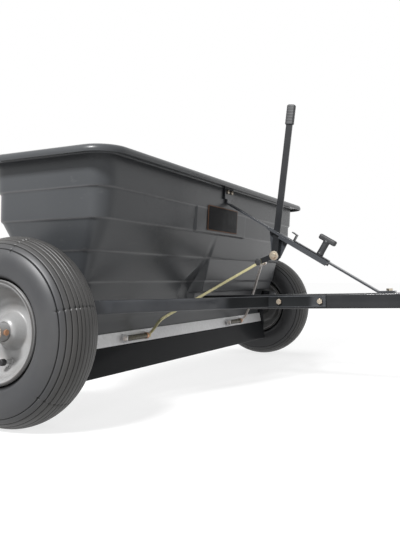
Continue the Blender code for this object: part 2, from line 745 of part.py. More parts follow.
def plate_rivet_rows():
    """The two rows of rivets that hold the metering plate to the hopper's floor."""
    row = (FLOOR_SLOT_WIDTH / 2 + TROUGH_HALF_DEPTH - HOPPER_WALL) / 2
    return (-row, row)


def end_plate_bolt_places():
    """Bolts between each end plate and the hopper's trough, as (y, z)."""
    y = TROUGH_HALF_DEPTH - TROUGH_CORNER_RADIUS
    return ((-y, BUSH_FLANGE_RADIUS / 2 + 0.012), (y, BUSH_FLANGE_RADIUS / 2 + 0.012))


def brace_rear_end():
    """Rear end of the braces, just ahead of the hopper's sloping wall."""
    return -(wall_depth(BRACE_REAR_HEIGHT + BRACE_FLAT_HALF_HEIGHT) + BRACE_WALL_GAP)


def brace_rear_bolt():
    """Place along Y of the stud that holds a brace to its end plate."""
    return brace_rear_end() - BRACE_REAR_BOLT_INSET


def brace_rear_bend():
    """Place along Y where a brace leaves its end plate."""
    return brace_rear_end() - BRACE_REAR_FLAT


# Metering and closure plates

def closure_travel():
    """How far the links pull the closure plate while the lever turns through its travel."""
    y, z = link_bolt_place()
    length = math.hypot(ARM_END.y - y, ARM_END.z - z)
    reach = math.sqrt(length ** 2 - (ARM_OPEN.z - z) ** 2)
    return y - (ARM_OPEN.y + reach)


def hole_centres():
    """Positions of the metering holes along X."""
    first = -METERING_PITCH * (METERING_HOLES - 1) / 2
    return [first + METERING_PITCH * i for i in range(METERING_HOLES)]


def metering_windows(shift, low, high):
    """Cutter corners for the row of metering holes, moved to the rear by a shift."""
    half_x = METERING_HOLE_LENGTH / 2
    half_y = METERING_HOLE_WIDTH / 2
    return [((x - half_x, shift - half_y, low), (x + half_x, shift + half_y, high))
            for x in hole_centres()]


def make_metering_plate():
    """A steel plate under the hopper's slot, with the metering holes and its rivets.

    Eight rivets hold it to the hopper's floor.  Four shoulder rivets carry the closure plate.
    """
    half_length = TROUGH_HALF_LENGTH - FIT
    middle_z = METERING_TOP - PLATE_THICKNESS / 2
    plate = box_between((-half_length, -TROUGH_HALF_DEPTH, METERING_BOTTOM),
                        (half_length, TROUGH_HALF_DEPTH, METERING_TOP))
    finish(plate, "metering_plate", "galvanised")
    windows = metering_windows(0.0, METERING_BOTTOM - WINDOW_OVERRUN, METERING_TOP + WINDOW_OVERRUN)
    cut(plate, as_cutter(boxes(windows), "metering_windows"))
    rivets = []
    for x in PLATE_RIVETS:
        for y in plate_rivet_rows():
            top = TROUGH_BOTTOM + HOPPER_WALL
            rivets.append(bolt((x, y, top), (x, y, middle_z), PLATE_RIVET_RADIUS, 0.0034, 0.002, nut=0.0))
    for x in SHOULDER_RIVETS:
        rivets.append(bolt((x, 0, CLOSURE_BOTTOM), (x, 0, middle_z), SMALL_BOLT_RADIUS,
                           SMALL_HEAD_RADIUS, SMALL_HEAD / 2, nut=0.0))
    joined(plate, merged(rivets), "metering_plate_rivets")


def make_closure_plate(carrier):
    """The sliding plate: its holes lie behind the metering holes while it is shut."""
    half_length = TROUGH_HALF_LENGTH - 0.0025
    foot = LIP_FOOT_Y
    top_y = lip_y(LIP_TOP)
    outline = [
        (foot, CLOSURE_BOTTOM), (TROUGH_HALF_DEPTH, CLOSURE_BOTTOM), (TROUGH_HALF_DEPTH, CLOSURE_TOP),
        (foot + PLATE_THICKNESS, CLOSURE_TOP), (top_y + PLATE_THICKNESS, LIP_TOP), (top_y, LIP_TOP)]
    plate = side_plate(outline, 2 * half_length, 0.0)
    finish(plate, "closure_plate", "galvanised", carrier)
    below, above = CLOSURE_BOTTOM - WINDOW_OVERRUN, CLOSURE_TOP + WINDOW_OVERRUN
    windows = metering_windows(closure_travel(), below, above)
    slack = SMALL_BOLT_RADIUS + 2 * BOLT_FIT
    for x in SHOULDER_RIVETS:
        windows.append(((x - slack, -slack, below), (x + slack, closure_travel() + slack, above)))
    cut(plate, as_cutter(boxes(windows), "closure_windows"))


# End plates, bushes, axle and agitator

def make_end_plates():
    """Steel plates that carry the axle bushes, the braces and the deflector.

    Each has three studs: two to the hopper's trough and one to its brace.
    """
    ear_y = brace_rear_bolt() - EAR_NOSE
    outline = [
        (-END_PLATE_HALF_DEPTH, -END_PLATE_DROP), (END_PLATE_HALF_DEPTH, -END_PLATE_DROP),
        (END_PLATE_HALF_DEPTH, END_PLATE_TOP - 0.015), (END_PLATE_HALF_DEPTH - 0.015, END_PLATE_TOP),
        (ear_y + 0.006, END_PLATE_TOP), (ear_y, END_PLATE_TOP - 0.006),
        (ear_y, END_PLATE_TOP - EAR_HEIGHT), (-END_PLATE_HALF_DEPTH, -0.012)]
    holes = [circle_points((0, 0), BUSH_RADIUS + FIT, ROUND_SIDES)]
    for place in deflector_bolt_places():
        holes.append(circle_points(place, SMALL_BOLT_RADIUS + BOLT_FIT, 8))
    middle = END_PLATE_INNER + END_PLATE / 2
    for side, name in ((-1, "near_end_plate"), (1, "far_end_plate")):
        plate = finish(side_plate(outline, END_PLATE, side * middle, holes), name, "black_paint")
        studs = []
        for y, z in end_plate_bolt_places():
            inside = TROUGH_HALF_LENGTH - HOPPER_WALL
            studs.append(stud((side * END_PLATE_OUTER, y, z), (side * inside, y, z),
                              radius=SMALL_BOLT_RADIUS, head_radius=SMALL_HEAD_RADIUS,
                              head=SMALL_HEAD, nut=SMALL_HEAD, tail=0.001))
        inner = END_PLATE_INNER - FIT - BRACE_FLAT_THICKNESS
        y, z = brace_rear_bolt(), BRACE_REAR_HEIGHT
        studs.append(stud((side * END_PLATE_OUTER, y, z), (side * inner, y, z), tail=0.001))
        joined(plate, merged(studs), name + "_studs")


def make_axle_line(carrier):
    """The axle with its agitator blades, and the bushes and spacers around it."""
    axle = cylinders([((-AXLE_HALF_LENGTH, 0, 0), (AXLE_HALF_LENGTH, 0, 0), AXLE_RADIUS)], ROUND_SIDES)
    finish(axle, "axle", "bare_steel", carrier)
    rods = []
    for side in (-1, 1):
        x = side * cotter_x()
        rods.append(((x, 0, -0.03), (x, 0, 0.03), COTTER_RADIUS + BOLT_FIT))
    rods.append(((drive_bolt_x(), -0.03, 0), (drive_bolt_x(), 0.03, 0), SMALL_BOLT_RADIUS + BOLT_FIT))
    cut(axle, as_cutter(cylinders(rods, 8), "axle_cross_holes"))
    blades = []
    first = -AGITATOR_PITCH * (AGITATOR_BLADES - 1) / 2
    for i in range(AGITATOR_BLADES):
        x = first + AGITATOR_PITCH * i
        angle = math.radians(40) * i
        along = Vector((0, math.cos(angle), math.sin(angle)))
        across = Vector((0, -math.sin(angle), math.cos(angle)))
        half = AGITATOR_WIDTH / 2
        tip = math.sqrt(AGITATOR_RADIUS ** 2 - (half / 2) ** 2)
        outline = [(-tip, -half / 2), (-tip / 2, -half), (tip / 2, -half), (tip, -half / 2),
                   (tip, half / 2), (tip / 2, half), (-tip / 2, half), (-tip, half / 2)]
        hole = circle_points((0, 0), AXLE_RADIUS + FIT + AGITATOR_TUBE / 2, 12)
        blades.append(flat_plate(outline, AGITATOR_THICKNESS, facing(along, across, (x, 0, 0)), [hole]))
    inner = TROUGH_HALF_LENGTH - HOPPER_WALL - BUSH_LAP
    bore = AXLE_RADIUS + FIT
    profile = [(-inner + FIT, bore), (inner - FIT, bore), (inner - FIT, bore + AGITATOR_TUBE),
               (-inner + FIT, bore + AGITATOR_TUBE)]
    agitator = finish(turned(profile, ROUND_SIDES, 0.0, 1), "agitator", "bare_steel", carrier)
    joined(agitator, merged(blades), "agitator_blades")
    bore = AXLE_RADIUS + RUN
    bush_end = END_PLATE_OUTER + FIT
    profile = [(inner, bore), (bush_end + BUSH_FLANGE, bore), (bush_end + BUSH_FLANGE, BUSH_FLANGE_RADIUS),
               (bush_end, BUSH_FLANGE_RADIUS), (bush_end, BUSH_RADIUS), (inner, BUSH_RADIUS)]
    for side, name in ((-1, "near_axle_bush"), (1, "far_axle_bush")):
        finish(turned(profile, ROUND_SIDES, 0.0, side), name, "white_nylon")
    start = bush_end + BUSH_FLANGE + FIT
    profile = [(start, bore), (HUB_INNER - FIT, bore), (HUB_INNER - FIT, HUB_RADIUS - 0.002),
               (start, HUB_RADIUS - 0.002)]
    for side, name in ((-1, "near_axle_spacer"), (1, "far_axle_spacer")):
        finish(turned(profile, ROUND_SIDES, 0.0, side), name, "bare_steel", carrier)
    profile = [(HUB_OUTER + FIT, bore), (HUB_OUTER + FIT + WASHER_THICKNESS, bore),
               (HUB_OUTER + FIT + WASHER_THICKNESS, WASHER_RADIUS), (HUB_OUTER + FIT, WASHER_RADIUS)]
    for side, name in ((-1, "near"), (1, "far")):
        finish(turned(profile, 12, 0.0, side), name + "_wheel_washer", "bright_zinc", carrier)
        x = side * cotter_x()
        pin = cylinders([((x, 0, -AXLE_RADIUS - 0.010), (x, 0, AXLE_RADIUS + 0.006), COTTER_RADIUS)], 8)
        finish(pin, name + "_cotter_pin", "bright_zinc", carrier)


def cotter_x():
    """Distance of the cotter pins from the middle of the axle."""
    return HUB_OUTER + FIT + WASHER_THICKNESS + FIT + COTTER_RADIUS + 0.001


def drive_bolt_x():
    """Place of the bolt that keys the near hub to the axle."""
    return -(HUB_OUTER - DRIVE_BOLT_INSET)


# Wheels

def tyre_profile():
    """Tyre section, offset from the wheel's middle and radius, with an open bead side."""
    half = TYRE_WIDTH / 2
    tall = TYRE_SECTION_HEIGHT / 2
    centre = TYRE_DIAMETER / 2 - tall
    power = 2 / TYRE_SQUARENESS
    flange = RIM_FLANGE_RADIUS + RIM_SHEET
    bead_angle = -math.asin(((centre - flange - 0.001) / tall) ** (1 / power))
    outer = []
    steps = 10
    for i in range(steps + 1):
        angle = bead_angle + (math.pi - 2 * bead_angle) * i / steps
        cosine, sine = math.cos(angle), math.sin(angle)
        offset = half * math.copysign(abs(cosine) ** power, cosine)
        rise = tall * math.copysign(abs(sine) ** power, sine)
        outer.append((offset, centre + rise))
    bead = RIM_WIDTH / 2 - RIM_SHEET - FIT
    seat = BEAD_RADIUS + RIM_SHEET / 2 + FIT
    toe = bead - TYRE_WALL
    inner = []
    for i in range(5):
        angle = math.pi - math.pi * i / 4
        inner.append(((half - TYRE_WALL) * math.cos(angle), centre + (tall - TYRE_WALL) * math.sin(angle)))
    corner = RIM_BEND + 0.0005
    left = [(-bead, flange), (-bead, seat + corner), (-bead + corner, seat), (-toe, seat)]
    right = [(toe, seat), (bead - corner, seat), (bead, seat + corner), (bead, flange)]
    return right + outer + left + inner


def rim_half(outboard):
    """One pressed half of the rim, from its flange to its dome round the hub."""
    half = RIM_WIDTH / 2 - RIM_SHEET / 2
    lap = RIM_SHEET / 2 + FIT / 2
    flange = [(half, RIM_FLANGE_RADIUS), (half, BEAD_RADIUS + RIM_BEND), (half - RIM_BEND, BEAD_RADIUS),
              (0.024, BEAD_RADIUS - 0.0006)]
    hub = HUB_RADIUS + FIT + RIM_SHEET / 2
    if outboard:
        disc = [(0.014, DROP_CENTRE_RADIUS), (lap, DROP_CENTRE_RADIUS - 0.010), (lap, DOME_RADIUS + 0.004),
                (lap + 0.006, DOME_RADIUS), (DOME_DEPTH - 0.003, HUB_RADIUS + 0.006), (DOME_DEPTH, hub)]
    else:
        disc = [(0.011, DROP_CENTRE_RADIUS), (lap, DROP_CENTRE_RADIUS - 0.007), (lap, DOME_RADIUS + 0.004),
                (lap + 0.006, DOME_RADIUS), (DOME_DEPTH - 0.003, HUB_RADIUS + 0.006), (DOME_DEPTH, hub)]
    return flange + disc


def make_wheel(side, name, carrier):
    """Tyre, two rim halves, hub and valve stem of one wheel, and the near wheel's drive bolt."""
    centre = side * WHEEL_X
    finish(turned(tyre_profile(), WHEEL_STEPS, centre, side), f"{name}_tyre", "tyre_rubber", carrier)
    outer = screwed_sheet(rim_half(True), RIM_SHEET, WHEEL_STEPS, centre, side)
    finish(outer, f"{name}_rim_outer", "rim_silver", carrier)
    inner = screwed_sheet(rim_half(False), RIM_SHEET, WHEEL_STEPS, centre, -side)
    finish(inner, f"{name}_rim_inner", "rim_silver", carrier)
    bore = AXLE_RADIUS + (FIT if side < 0 else RUN)
    profile = [(-HUB_LENGTH / 2, bore), (HUB_LENGTH / 2, bore), (HUB_LENGTH / 2, HUB_RADIUS),
               (-HUB_LENGTH / 2, HUB_RADIUS)]
    hub = finish(turned(profile, ROUND_SIDES, centre, side), f"{name}_hub", "rim_silver", carrier)
    valve_start = Vector((centre + side * 0.012, 0, -VALVE_CIRCLE))
    valve_end = Vector((centre - side * 0.006, 0, -VALVE_CIRCLE))
    hole = cylinders([(valve_start, valve_end, VALVE_RADIUS + BOLT_FIT)], 10)
    hole_cutter = as_cutter(hole, f"{name}_valve_hole")
    cut(outer, hole_cutter)
    cut(inner, hole_cutter)
    stem = [(-0.0055, 0.0001), (-0.0055, VALVE_RADIUS), (0.012, VALVE_RADIUS), (0.014, VALVE_RADIUS * 0.6),
            (0.030, VALVE_RADIUS * 0.6), (0.030, 0.0001)]
    rings = []
    for i in range(8):
        angle = 2 * math.pi * i / 8
        rings.append([(centre + side * x, r * math.cos(angle), -VALVE_CIRCLE + r * math.sin(angle))
                      for x, r in stem])
    finish(loft(rings, closed=True), f"{name}_valve_stem", "black_plastic", carrier)
    if side < 0:
        bolt_x = drive_bolt_x()
        hole = cylinders([((bolt_x, -0.03, 0), (bolt_x, 0.03, 0), SMALL_BOLT_RADIUS + BOLT_FIT)], 8)
        cut(hub, as_cutter(hole, "drive_bolt_hole"))
        drive = bolt((bolt_x, -HUB_RADIUS, 0), (bolt_x, HUB_RADIUS, 0), SMALL_BOLT_RADIUS,
                     SMALL_HEAD_RADIUS, SMALL_HEAD, nut=SMALL_HEAD, tail=0.003)
        finish(drive, "drive_bolt", "bright_zinc", AXLE_LINE)


# Deflector

def deflector_bolt_places():
    """Bolts that hold the deflector's end flanges to the end plates, as (y, z)."""
    y = LIP_FOOT_Y + 0.014
    return ((y, DEFLECTOR_TOP - 0.012), (y - 0.004, DEFLECTOR_TOP - DEFLECTOR_HEIGHT + 0.012))


def make_deflector():
    """A sheet below the closure plate, leaning forward, with a flange and two studs at each end."""
    half_length = END_PLATE_INNER - FIT
    top_y = LIP_FOOT_Y + 0.002
    bottom = DEFLECTOR_TOP - DEFLECTOR_HEIGHT
    bottom_y = top_y - DEFLECTOR_LEAN
    panel = thick_line([(bottom_y, bottom), (top_y, DEFLECTOR_TOP)], -SHEET)
    deflector = finish(side_plate(panel, 2 * half_length, 0.0), "deflector", "black_paint")
    back = DEFLECTOR_FLANGE_DEPTH
    flange = [(top_y + SHEET / 2, DEFLECTOR_TOP - 0.003), (top_y + back, DEFLECTOR_TOP - 0.003),
              (bottom_y + back, bottom + 0.003), (bottom_y + SHEET / 2, bottom + 0.003)]
    for side, name in ((-1, "near_deflector_flange"), (1, "far_deflector_flange")):
        shape = side_plate(flange, SHEET, side * (half_length - SHEET / 2))
        joined(deflector, shape, name)
    studs = []
    for side in (-1, 1):
        for y, z in deflector_bolt_places():
            studs.append(stud((side * (half_length - SHEET), y, z), (side * END_PLATE_OUTER, y, z),
                              radius=SMALL_BOLT_RADIUS, head_radius=SMALL_HEAD_RADIUS,
                              head=SMALL_HEAD / 2, nut=SMALL_HEAD, tail=0.001))
    joined(deflector, merged(studs), "deflector_studs")


# Tongue, braces and hitch

def on_tongue(y, rise):
    """A point on the tongue's middle plane, a distance above its centre line."""
    normal = Vector((0, math.sin(TONGUE_SLOPE), math.cos(TONGUE_SLOPE)))
    return Vector((0, y, tongue_z(y))) + normal * rise


def make_tongue():
    """The square towing tube, cut for its bolts."""
    half = TONGUE_WIDTH / 2
    inside = half - TONGUE_WALL
    corner = 0.003
    outline = []
    for sx, sy in ((1, 1), (-1, 1), (-1, -1), (1, -1)):
        first = (sx * half, sy * (half - corner))
        second = (sx * (half - corner), sy * half)
        outline += [first, second] if sx * sy > 0 else [second, first]
    hole = rectangle_points((-inside, -inside), (inside, inside))
    start, end = on_tongue(TONGUE_REAR, 0), on_tongue(TONGUE_FRONT, 0)
    normal = Vector((0, math.sin(TONGUE_SLOPE), math.cos(TONGUE_SLOPE)))
    place = facing((1, 0, 0), normal, (start + end) / 2)
    tongue = flat_plate(outline, (end - start).length, place, [hole])
    finish(tongue, "tongue", "black_paint")
    rods = []
    for y in (BRACE_BOLT_1, BRACE_BOLT_2):
        z = tongue_z(y)
        rods.append(((-0.05, y, z), (0.05, y, z), BOLT_RADIUS + BOLT_FIT))
    rods.append((on_tongue(foot_bolt_y(), 0), on_tongue(foot_bolt_y(), 0.05), BOLT_RADIUS + BOLT_FIT))
    for y in hitch_bolt_places():
        rods.append((on_tongue(y, -0.05), on_tongue(y, 0.05), BOLT_RADIUS + BOLT_FIT))
    cut(tongue, as_cutter(cylinders(rods, 10), "tongue_bolt_holes"))
    reach = TONGUE_WIDTH / 2 + FIT + BRACE_FLAT_THICKNESS
    for y, name in ((BRACE_BOLT_1, "brace_bolt_rear"), (BRACE_BOLT_2, "brace_bolt_front")):
        z = tongue_z(y)
        finish(bolt((-reach, y, z), (reach, y, z)), name, "bright_zinc")


def brace_section(centre, along, half_thickness, half_height, power):
    """One section of a brace: a superellipse across its path."""
    side = Vector((along.y, -along.x, 0)).normalized()
    ring = []
    for i in range(12):
        angle = 2 * math.pi * (i + 0.5) / 12
        cosine, sine = math.cos(angle), math.sin(angle)
        a = half_thickness * math.copysign(abs(cosine) ** (2 / power), cosine)
        b = half_height * math.copysign(abs(sine) ** (2 / power), sine)
        ring.append(Vector(centre) + side * a + Vector((0, 0, b)))
    return ring


def make_brace(side, name):
    """A round tube with both ends pressed flat, from an end plate to the tongue's side."""
    flat = BRACE_FLAT_THICKNESS / 2
    tall = BRACE_FLAT_HALF_HEIGHT
    tube = BRACE_TUBE_RADIUS
    rear_x = END_PLATE_INNER - FIT - flat
    front_x = TONGUE_WIDTH / 2 + FIT + flat
    z = BRACE_REAR_HEIGHT
    rear = Vector((rear_x, brace_rear_bend(), z))
    front = Vector((front_x, BRACE_BEND, tongue_z(BRACE_BEND)))
    run = (front - rear)
    length = run.length
    along = run.normalized()
    forward = Vector((0, -1, 0))
    stations = [
        (Vector((rear_x, brace_rear_end(), z)), forward, flat, tall, 8),
        (rear, (forward + along).normalized(), flat, tall, 8),
        (rear + along * 0.018, along, flat * 1.6, tall, 6),
        (rear + along * 0.050, along, tube, tube, 3),
        (rear + along * (length - 0.215), along, tube, tube, 3),
        (rear + along * (length - 0.165), along, tube * 0.75, tube * 1.18, 3.5),
        (rear + along * (length - 0.115), along, flat * 1.7, tall, 6),
        (rear + along * (length - 0.018), along, flat * 1.1, tall, 8),
        (front, (forward + along).normalized(), flat, tall, 8),
        (Vector((front_x, BRACE_BOLT_1, tongue_z(BRACE_BOLT_1))), forward, flat, tall, 8),
        (Vector((front_x, BRACE_FRONT, tongue_z(BRACE_FRONT))), forward, flat, tall, 8),
    ]
    rings = []
    for centre, direction, thickness, height, power in stations:
        centre = Vector((side * centre.x, centre.y, centre.z))
        direction = Vector((side * direction.x, direction.y, direction.z))
        ring = brace_section(centre, direction, thickness, height, power)
        rings.append(ring)
    brace = finish(loft(rings), name, "black_paint")
    rods = []
    for y in (BRACE_BOLT_1, BRACE_BOLT_2):
        height = tongue_z(y)
        rods.append(((side * 0.005, y, height), (side * 0.045, y, height), BOLT_RADIUS + BOLT_FIT))
    y = brace_rear_bolt()
    rods.append(((side * (rear_x - 0.02), y, z), (side * (rear_x + 0.02), y, z), BOLT_RADIUS + BOLT_FIT))
    cut(brace, as_cutter(cylinders(rods, 10), name + "_holes"))


def hitch_bolt_places():
    """The two bolts through the hitch plates and the tongue."""
    return (TONGUE_FRONT + 0.018, TONGUE_FRONT + HITCH_PLATE_LAP - 0.018)


def make_hitch(carrier):
    """Two plates that carry the hitch pin ahead of the tongue."""
    half = HITCH_PLATE_WIDTH / 2
    rear = HITCH_PLATE_LAP
    nose = HITCH_REACH
    outline = [(-half, -rear), (half, -rear), (half, nose)]
    for i in range(1, 8):
        angle = math.pi * i / 8
        outline.append((half * math.cos(angle), nose + HITCH_NOSE * math.sin(angle)))
    outline.append((-half, nose))
    holes = [circle_points((0, nose), HITCH_PIN_RADIUS + RUN, 12)]
    for y in hitch_bolt_places():
        holes.append(circle_points((0, TONGUE_FRONT - y), BOLT_RADIUS + BOLT_FIT, 8))
    along = Vector((0, -math.cos(TONGUE_SLOPE), math.sin(TONGUE_SLOPE)))
    rise = TONGUE_WIDTH / 2 + FIT + HITCH_PLATE / 2
    for sign, name in ((1, "hitch_plate_top"), (-1, "hitch_plate_bottom")):
        place = facing((1, 0, 0), along, on_tongue(TONGUE_FRONT, sign * rise))
        finish(flat_plate(outline, HITCH_PLATE, place, holes), name, "black_paint")
    grip = TONGUE_WIDTH / 2 + FIT + HITCH_PLATE
    for y, name in zip(hitch_bolt_places(), ("hitch_bolt_front", "hitch_bolt_rear")):
        finish(bolt(on_tongue(y, grip), on_tongue(y, -grip)), name, "bright_zinc")
    centre = hitch_pin_centre()
    up = Vector((0, math.sin(TONGUE_SLOPE), math.cos(TONGUE_SLOPE)))
    collar = grip + FIT
    turn = axis_matrix(up).to_3x3()
    rings = []
    for along_pin, radius in ((-grip - HITCH_PIN_TAIL, HITCH_PIN_RADIUS * 0.6),
                              (-grip - HITCH_PIN_TAIL + 0.004, HITCH_PIN_RADIUS),
                              (collar, HITCH_PIN_RADIUS), (collar, HITCH_PIN_RADIUS * 1.7),
                              (collar + 0.005, HITCH_PIN_RADIUS * 1.7), (collar + 0.005, HITCH_PIN_RADIUS),
                              (collar + HITCH_PIN_GRIP, HITCH_PIN_RADIUS)):
        ring = []
        for i in range(10):
            angle = 2 * math.pi * i / 10
            ring.append(centre + up * along_pin + turn @ Vector((radius * math.cos(angle),
                                                                 radius * math.sin(angle), 0)))
        rings.append(ring)
    pin = finish(loft(rings), "hitch_pin", "bright_zinc", carrier)
    clip_point = centre - up * (grip + 0.009)
    hole = cylinders([(clip_point - Vector((0.02, 0, 0)), clip_point + Vector((0.02, 0, 0)),
                       CLIP_WIRE_RADIUS + BOLT_FIT)], 8)
    cut(pin, as_cutter(hole, "hitch_clip_hole"))
    make_hitch_ring(centre + up * (collar + HITCH_PIN_GRIP), up, pin)
    make_hitch_clip(clip_point, carrier)


def make_hitch_ring(foot, up, pin):
    """The pull ring welded on the pin's head."""
    bpy.ops.mesh.primitive_torus_add(major_segments=12, minor_segments=6, major_radius=HITCH_RING_RADIUS,
                                     minor_radius=0.0028)
    ring = bpy.context.object
    data = bmesh.new()
    data.from_mesh(ring.data)
    bpy.data.objects.remove(ring)
    centre = foot + up * (HITCH_RING_RADIUS - 0.0015)
    place = Matrix.Translation(centre) @ Matrix.Rotation(math.pi / 2, 4, 'Y')
    bmesh.ops.transform(data, matrix=place, verts=data.verts)
    joined(pin, from_bmesh(data), "hitch_ring")


def make_hitch_clip(point, carrier):
    """A wire hair clip: one straight leg through the pin, one leg bowed round it."""
    leg = 0.030
    bow = HITCH_PIN_RADIUS + CLIP_WIRE_RADIUS + 2 * FIT
    path = [(-0.014, 0.0), (0.0, 0.0), (leg, 0.0), (leg + 0.008, -0.003), (leg + 0.010, -0.009),
            (leg + 0.004, -0.0135), (leg - 0.006, -bow - 0.003), (leg - 0.014, -bow + 0.0002),
            (0.004, -bow), (-0.002, -bow), (-0.008, -bow + 0.001), (-0.014, -bow - 0.001)]
    curve = bpy.data.curves.new("clip", 'CURVE')
    curve.dimensions = '3D'
    curve.bevel_depth = CLIP_WIRE_RADIUS
    curve.bevel_resolution = 2
    curve.use_fill_caps = True
    spline = curve.splines.new('POLY')
    spline.points.add(len(path) - 1)
    for target, (x, y) in zip(spline.points, path):
        target.co = (point.x + x, point.y + y, point.z, 1)
    obj = bpy.data.objects.new("clip", curve)
    bpy.context.scene.collection.objects.link(obj)
    made = bpy.data.meshes.new_from_object(obj.evaluated_get(bpy.context.evaluated_depsgraph_get()))
    bpy.data.objects.remove(obj)
    data = bmesh.new()
    data.from_mesh(made)
    bmesh.ops.remove_doubles(data, verts=data.verts, dist=0.00001)
    finish(from_bmesh(data), "hitch_clip", "bright_zinc", carrier)


def hitch_pin_centre():
    """Middle of the hitch pin, between the two plates."""
    return on_tongue(TONGUE_FRONT - HITCH_REACH * math.cos(TONGUE_SLOPE), 0)


# Strut, gauge channel and stop

def foot_start_y():
    """Where the strut meets the tongue's top and turns flat."""
    rise = TONGUE_WIDTH / 2 + FIT + STRUT_THICKNESS
    y = -0.5
    for _ in range(20):
        wanted = on_tongue(y, rise).z
        y = STRUT_DATUM_Y + (wanted - STRUT_DATUM_Z) / math.tan(STRUT_SLOPE)
    return y


def foot_bolt_y():
    """The bolt through the strut's foot."""
    return foot_start_y() - FOOT_LENGTH + FOOT_BOLT_INSET


def slot_box(rear, front, half_width, x):
    """A cutter through the strut and its channel between two places along it."""
    corners = []
    for above in (0.012, -0.012):
        for y in (rear, front):
            point = strut_place(y, above)
            corners.append((point.y, point.z))
    outline = [corners[0], corners[1], corners[3], corners[2]]
    return side_plate(outline, 2 * half_width, x)


def stop_slot_ends():
    """Rear and front of the slot that the stop bolt slides in, as places along Y."""
    beyond = SMALL_BOLT_RADIUS + STOP_SLOT_END
    rear = KNOB_Y + (STOP_REARWARD + beyond) * math.cos(STRUT_SLOPE)
    front = KNOB_Y - (STOP_FORWARD + beyond) * math.cos(STRUT_SLOPE)
    return rear, front


def make_strut():
    """The strap from the hopper's front to the tongue, with two slots."""
    face = -(HOPPER_HALF_DEPTH + HOPPER_WALL / 2 + FIT) - STRUT_THICKNESS
    foot_y = foot_start_y()
    rise = TONGUE_WIDTH / 2 + FIT + STRUT_THICKNESS
    foot = on_tongue(foot_y, rise)
    toe = on_tongue(foot_y - FOOT_LENGTH, rise)
    line = [(face, STRUT_TOP), (face, strut_z(face)), (foot.y, foot.z), (toe.y, toe.z)]
    outline = thick_line(line, STRUT_THICKNESS)
    strut = finish(side_plate(outline, STRUT_WIDTH, 0.0), "strut", "black_paint")
    head = box_between((-STRUT_HEAD_WIDTH / 2, face, STRUT_TOP - STRUT_HEAD_HEIGHT),
                       (STRUT_HEAD_WIDTH / 2, face + STRUT_THICKNESS, STRUT_TOP))
    joined(strut, head, "strut_head")
    cut(strut, LEVER_SLOT)
    cut(strut, STOP_SLOT)
    rods = []
    z = STRUT_TOP - STRUT_BOLT_DROP
    for side, name in ((-1, "strut_bolt_near"), (1, "strut_bolt_far")):
        x = side * STRUT_BOLT_SPACING / 2
        rods.append(((x, face - 0.01, z), (x, face + 0.01, z), SMALL_BOLT_RADIUS + BOLT_FIT))
        inside = -(HOPPER_HALF_DEPTH + STEP_DEPTH - HOPPER_WALL) + 0.003
        head_bolt = bolt((x, face, z), (x, inside, z), SMALL_BOLT_RADIUS, SMALL_HEAD_RADIUS, SMALL_HEAD,
                         nut=SMALL_HEAD, tail=0.002, sides=8)
        finish(head_bolt, name, "bright_zinc")
    y = foot_bolt_y()
    rods.append((on_tongue(y, 0), on_tongue(y, 0.05), BOLT_RADIUS + BOLT_FIT))
    cut(strut, as_cutter(cylinders(rods, 10), "strut_bolt_holes"))
    foot_bolt = bolt(on_tongue(y, rise), on_tongue(y, TONGUE_WIDTH / 2 - TONGUE_WALL))
    finish(foot_bolt, "strut_foot_bolt", "bright_zinc")


def make_channel():
    """The gauge channel under the strut: a web, a near flange, and a far flange with the pivot gusset."""
    under = -STRUT_THICKNESS - FIT
    sheet = CHANNEL_SHEET
    half = STRUT_WIDTH / 2

    def along(y, above):
        point = strut_place(y, above)
        return (point.y, point.z)

    web = [along(GUSSET_REAR, under), along(CHANNEL_FRONT, under), along(CHANNEL_FRONT, under - sheet),
           along(GUSSET_REAR, under - sheet)]
    channel = finish(side_plate(web, STRUT_WIDTH, 0.0), "gauge_channel", "black_paint")
    near = [along(CHANNEL_REAR, under - sheet / 2), along(CHANNEL_FRONT, under - sheet / 2),
            along(CHANNEL_FRONT, under - CHANNEL_HEIGHT), along(CHANNEL_REAR, under - CHANNEL_HEIGHT)]
    joined(channel, side_plate(near, sheet, -half + sheet / 2), "channel_near_flange")
    below = LEVER_BOSS_RADIUS
    far = [along(GUSSET_REAR, under - sheet / 2), along(CHANNEL_FRONT, under - sheet / 2),
           along(CHANNEL_FRONT, under - CHANNEL_HEIGHT), along(GUSSET_FRONT, under - CHANNEL_HEIGHT)]
    far += [(PIVOT_Y - below, PIVOT_HEIGHT - below * 0.4), (PIVOT_Y - below * 0.4, PIVOT_HEIGHT - below),
            (PIVOT_Y + below * 0.4, PIVOT_HEIGHT - below), (PIVOT_Y + below, PIVOT_HEIGHT - below * 0.4)]
    hole = circle_points((PIVOT_Y, PIVOT_HEIGHT), BOLT_RADIUS + BOLT_FIT, 12)
    joined(channel, side_plate(far, sheet, half - sheet / 2, [hole]), "channel_gusset")
    cut(channel, LEVER_SLOT)
    cut(channel, STOP_SLOT)
    bottom = strut_place(CHANNEL_RIVET, under - sheet)
    top = strut_place(CHANNEL_RIVET, 0.0)
    rivet = stud(bottom, top, radius=SMALL_BOLT_RADIUS, head_radius=SMALL_HEAD_RADIUS,
                 head=SMALL_HEAD / 2, nut=0.0, sides=8)
    joined(channel, rivet, "channel_rivet")
    hole = cylinders([(bottom - STRUT_NORMAL * 0.01, top + STRUT_NORMAL * 0.01,
                       SMALL_BOLT_RADIUS + BOLT_FIT)], 12)
    cut(bpy.data.objects["strut"], as_cutter(hole, "channel_rivet_hole"))


